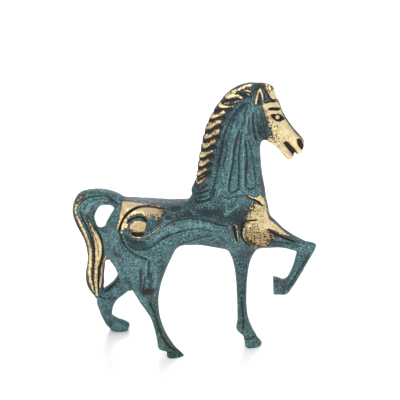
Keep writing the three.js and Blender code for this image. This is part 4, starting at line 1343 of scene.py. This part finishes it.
class HorsePatina(bpy.types.PropertyGroup):
    """Colours of the finish."""
    verdigris: colour("Verdigris", "Main colour of the crust", "#456f73")
    pale_verdigris: colour("Pale verdigris", "Chalky spots of the crust", "#82aaac")
    deep_verdigris: colour("Deep verdigris", "Crust in the hollows", "#1a2b2f")
    slate: colour("Slate", "Thin places of the crust", "#385359")
    moss: colour("Moss", "Greenish places of the crust", "#587465")
    deep_moss: colour("Deep moss", "Greenish places in the hollows", "#1d2a24")
    purple_brown: colour("Purple brown", "Oxide that shows through the crust", "#452d37")
    # Dark brown also serves as painted shade in the pits and in the rim along edges that turn away.
    dark_brown: colour("Dark brown", "Bottom of the cut lines", "#1f1a18")
    copper_red: colour("Copper red", "Bare copper at the edges of the polish", "#6e4638")
    polished: colour("Polished bronze", "Bright metal", "#f1deae")
    polished_warm: colour("Warm bronze", "Bright metal with a brownish film", "#c6af80")
    tarnished: colour("Tarnished bronze", "Metal that has gone dull again", "#a8987a")


class HorseStudio(bpy.types.PropertyGroup):
    """Camera, floor and lights."""
    distance: length("Camera distance", "From the camera to the point it looks at", 0.65)
    aim_x: length("Aim X", "Place along the horse that the camera looks at", 0.00265)
    aim_z: length("Aim height", "Height that the camera looks at", 0.0826)
    elevation: bpy.props.FloatProperty(name="Elevation", description="Angle of the camera above the horizon",
                                       default=math.radians(25), unit="ROTATION")
    lens: bpy.props.FloatProperty(name="Lens", description="Focal length of the camera", default=117,
                                  unit="CAMERA")
    sky: factor("Sky", "Strength of the light from the surroundings", 0.75)
    top_power: wattage("Top light", "Power of the soft light overhead", 24)
    top_size: length("Top light size", "Side of the soft light overhead", 3)
    back_power: wattage("Back light", "Power of the soft light behind the horse", 6)
    back_size: length("Back light size", "Side of the soft light behind the horse", 1)
    front_power: wattage("Front light", "Power of the soft light by the camera", 3)
    front_size: length("Front light size", "Side of the soft light by the camera", 0.5)
    floor: colour("Floor", "Colour of the floor", "#ececec")


def lay_floor(scene, studio):
    """A wide matt floor at the height of the soles."""
    bm = bmesh.new()
    bmesh.ops.create_grid(bm, x_segments=1, y_segments=1, size=FLOOR_HALF_SIDE)
    mesh = bpy.data.meshes.new("floor")
    bm.to_mesh(mesh)
    bm.free()
    board = bpy.data.materials.new("matt_white_board")
    board.use_nodes = True
    shader = board.node_tree.nodes["Principled BSDF"]
    shader.inputs["Base Color"].default_value = studio.floor
    shader.inputs["Roughness"].default_value = 0.2
    mesh.materials.append(board)
    floor = bpy.data.objects.new("floor", mesh)
    scene.collection.objects.link(floor)


def white_surroundings(studio):
    """A world that looks white and gives a somewhat weaker light."""
    world = bpy.data.worlds.new("white_surroundings")
    world.use_nodes = True
    tree = world.node_tree
    tree.nodes.clear()
    seen = add_node(tree, "ShaderNodeLightPath").outputs["Is Camera Ray"]
    dim = add_node(tree, "ShaderNodeBackground", [WHITE, studio.sky])
    white = add_node(tree, "ShaderNodeBackground", [WHITE, 1])
    both = add_node(tree, "ShaderNodeMixShader", [seen, dim, white])
    add_node(tree, "ShaderNodeOutputWorld", [both])
    return world


def hang_light(scene, name, watts, size, place, aim):
    """A square soft light that shines at the aim."""
    lamp = bpy.data.lights.new(name, "AREA")
    lamp.energy = watts
    lamp.shape = "SQUARE"
    lamp.size = size
    item = bpy.data.objects.new(name, lamp)
    item.location = place
    item.rotation_euler = (aim - place).to_track_quat("-Z", "Y").to_euler()
    scene.collection.objects.link(item)


def place_camera(scene, studio, aim):
    """The camera on the horse's right side, looking down at the aim."""
    data = bpy.data.cameras.new("camera")
    data.lens = studio.lens
    data.clip_start = 0.01
    camera = bpy.data.objects.new("camera", data)
    back = Vector((0, -math.cos(studio.elevation), math.sin(studio.elevation)))
    camera.location = aim + back * studio.distance
    camera.rotation_euler = (math.pi / 2 - studio.elevation, 0, 0)
    scene.collection.objects.link(camera)
    scene.camera = camera


class HORSE_OT_cast(bpy.types.Operator):
    """Model the horse from its ribs, carve both flanks and give it its patina"""
    bl_idname = "horse.cast"
    bl_label = "Cast Horse"

    def execute(self, context):
        sizes = context.scene.horse_casting
        mesh = fused_casting(sizes)
        carve(mesh, sizes)
        notch_crest(mesh)
        roughen(mesh, sizes)
        mesh = thinned(mesh, sizes.triangle_limit)
        stand_flat(mesh)
        paint(mesh)
        places, _ = mesh_arrays(mesh)
        set_places(mesh, places * MM)
        mesh.shade_smooth()
        mesh.name = "bronze_horse"
        mesh.materials.clear()
        mesh.materials.append(patinated_bronze(context.scene.horse_patina))
        horse = bpy.data.objects.new("bronze_horse", mesh)
        context.scene.collection.objects.link(horse)
        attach(horse, "root")
        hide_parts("horse")
        return {"FINISHED"}


class HORSE_OT_stage(bpy.types.Operator):
    """Set up the pale floor, the soft lights and the camera"""
    bl_idname = "horse.stage"
    bl_label = "Set Stage"

    def execute(self, context):
        studio = context.scene.horse_studio
        scene = context.scene
        scene.view_settings.view_transform = "Standard"
        aim = Vector((studio.aim_x, 0, studio.aim_z))
        lay_floor(scene, studio)
        scene.world = white_surroundings(studio)
        for name, watts, size, place in (
            ("top_light", studio.top_power, studio.top_size, TOP_LIGHT),
            ("back_light", studio.back_power, studio.back_size, BACK_LIGHT),
            ("front_light", studio.front_power, studio.front_size, FRONT_LIGHT),
        ):
            hang_light(scene, name, watts, size, Vector(place), aim)
        place_camera(scene, studio, aim)
        return {"FINISHED"}


class HORSE_PT_panel(bpy.types.Panel):
    """Settings and steps of the bronze horse"""
    bl_idname = "HORSE_PT_panel"
    bl_label = "Bronze Horse"
    bl_space_type = "VIEW_3D"
    bl_region_type = "UI"
    bl_category = "Horse"

    def draw(self, context):
        for group in (context.scene.horse_casting, context.scene.horse_patina, context.scene.horse_studio):
            box = self.layout.box()
            for name in group.__annotations__:
                box.prop(group, name)
        for step in STEPS:
            self.layout.operator(step.bl_idname)


STEPS = (HORSE_OT_cast, HORSE_OT_stage)
CLASSES = (HorseCasting, HorsePatina, HorseStudio, *STEPS, HORSE_PT_panel)


def register():
    for item in CLASSES:
        bpy.utils.register_class(item)
    bpy.types.Scene.horse_casting = bpy.props.PointerProperty(type=HorseCasting)
    bpy.types.Scene.horse_patina = bpy.props.PointerProperty(type=HorsePatina)
    bpy.types.Scene.horse_studio = bpy.props.PointerProperty(type=HorseStudio)


def unregister():
    del bpy.types.Scene.horse_casting, bpy.types.Scene.horse_patina, bpy.types.Scene.horse_studio
    for item in reversed(CLASSES):
        bpy.utils.unregister_class(item)


def main():
    register()
    bpy.ops.horse.cast()
    bpy.ops.horse.stage()


if __name__ == "__main__":
    main()
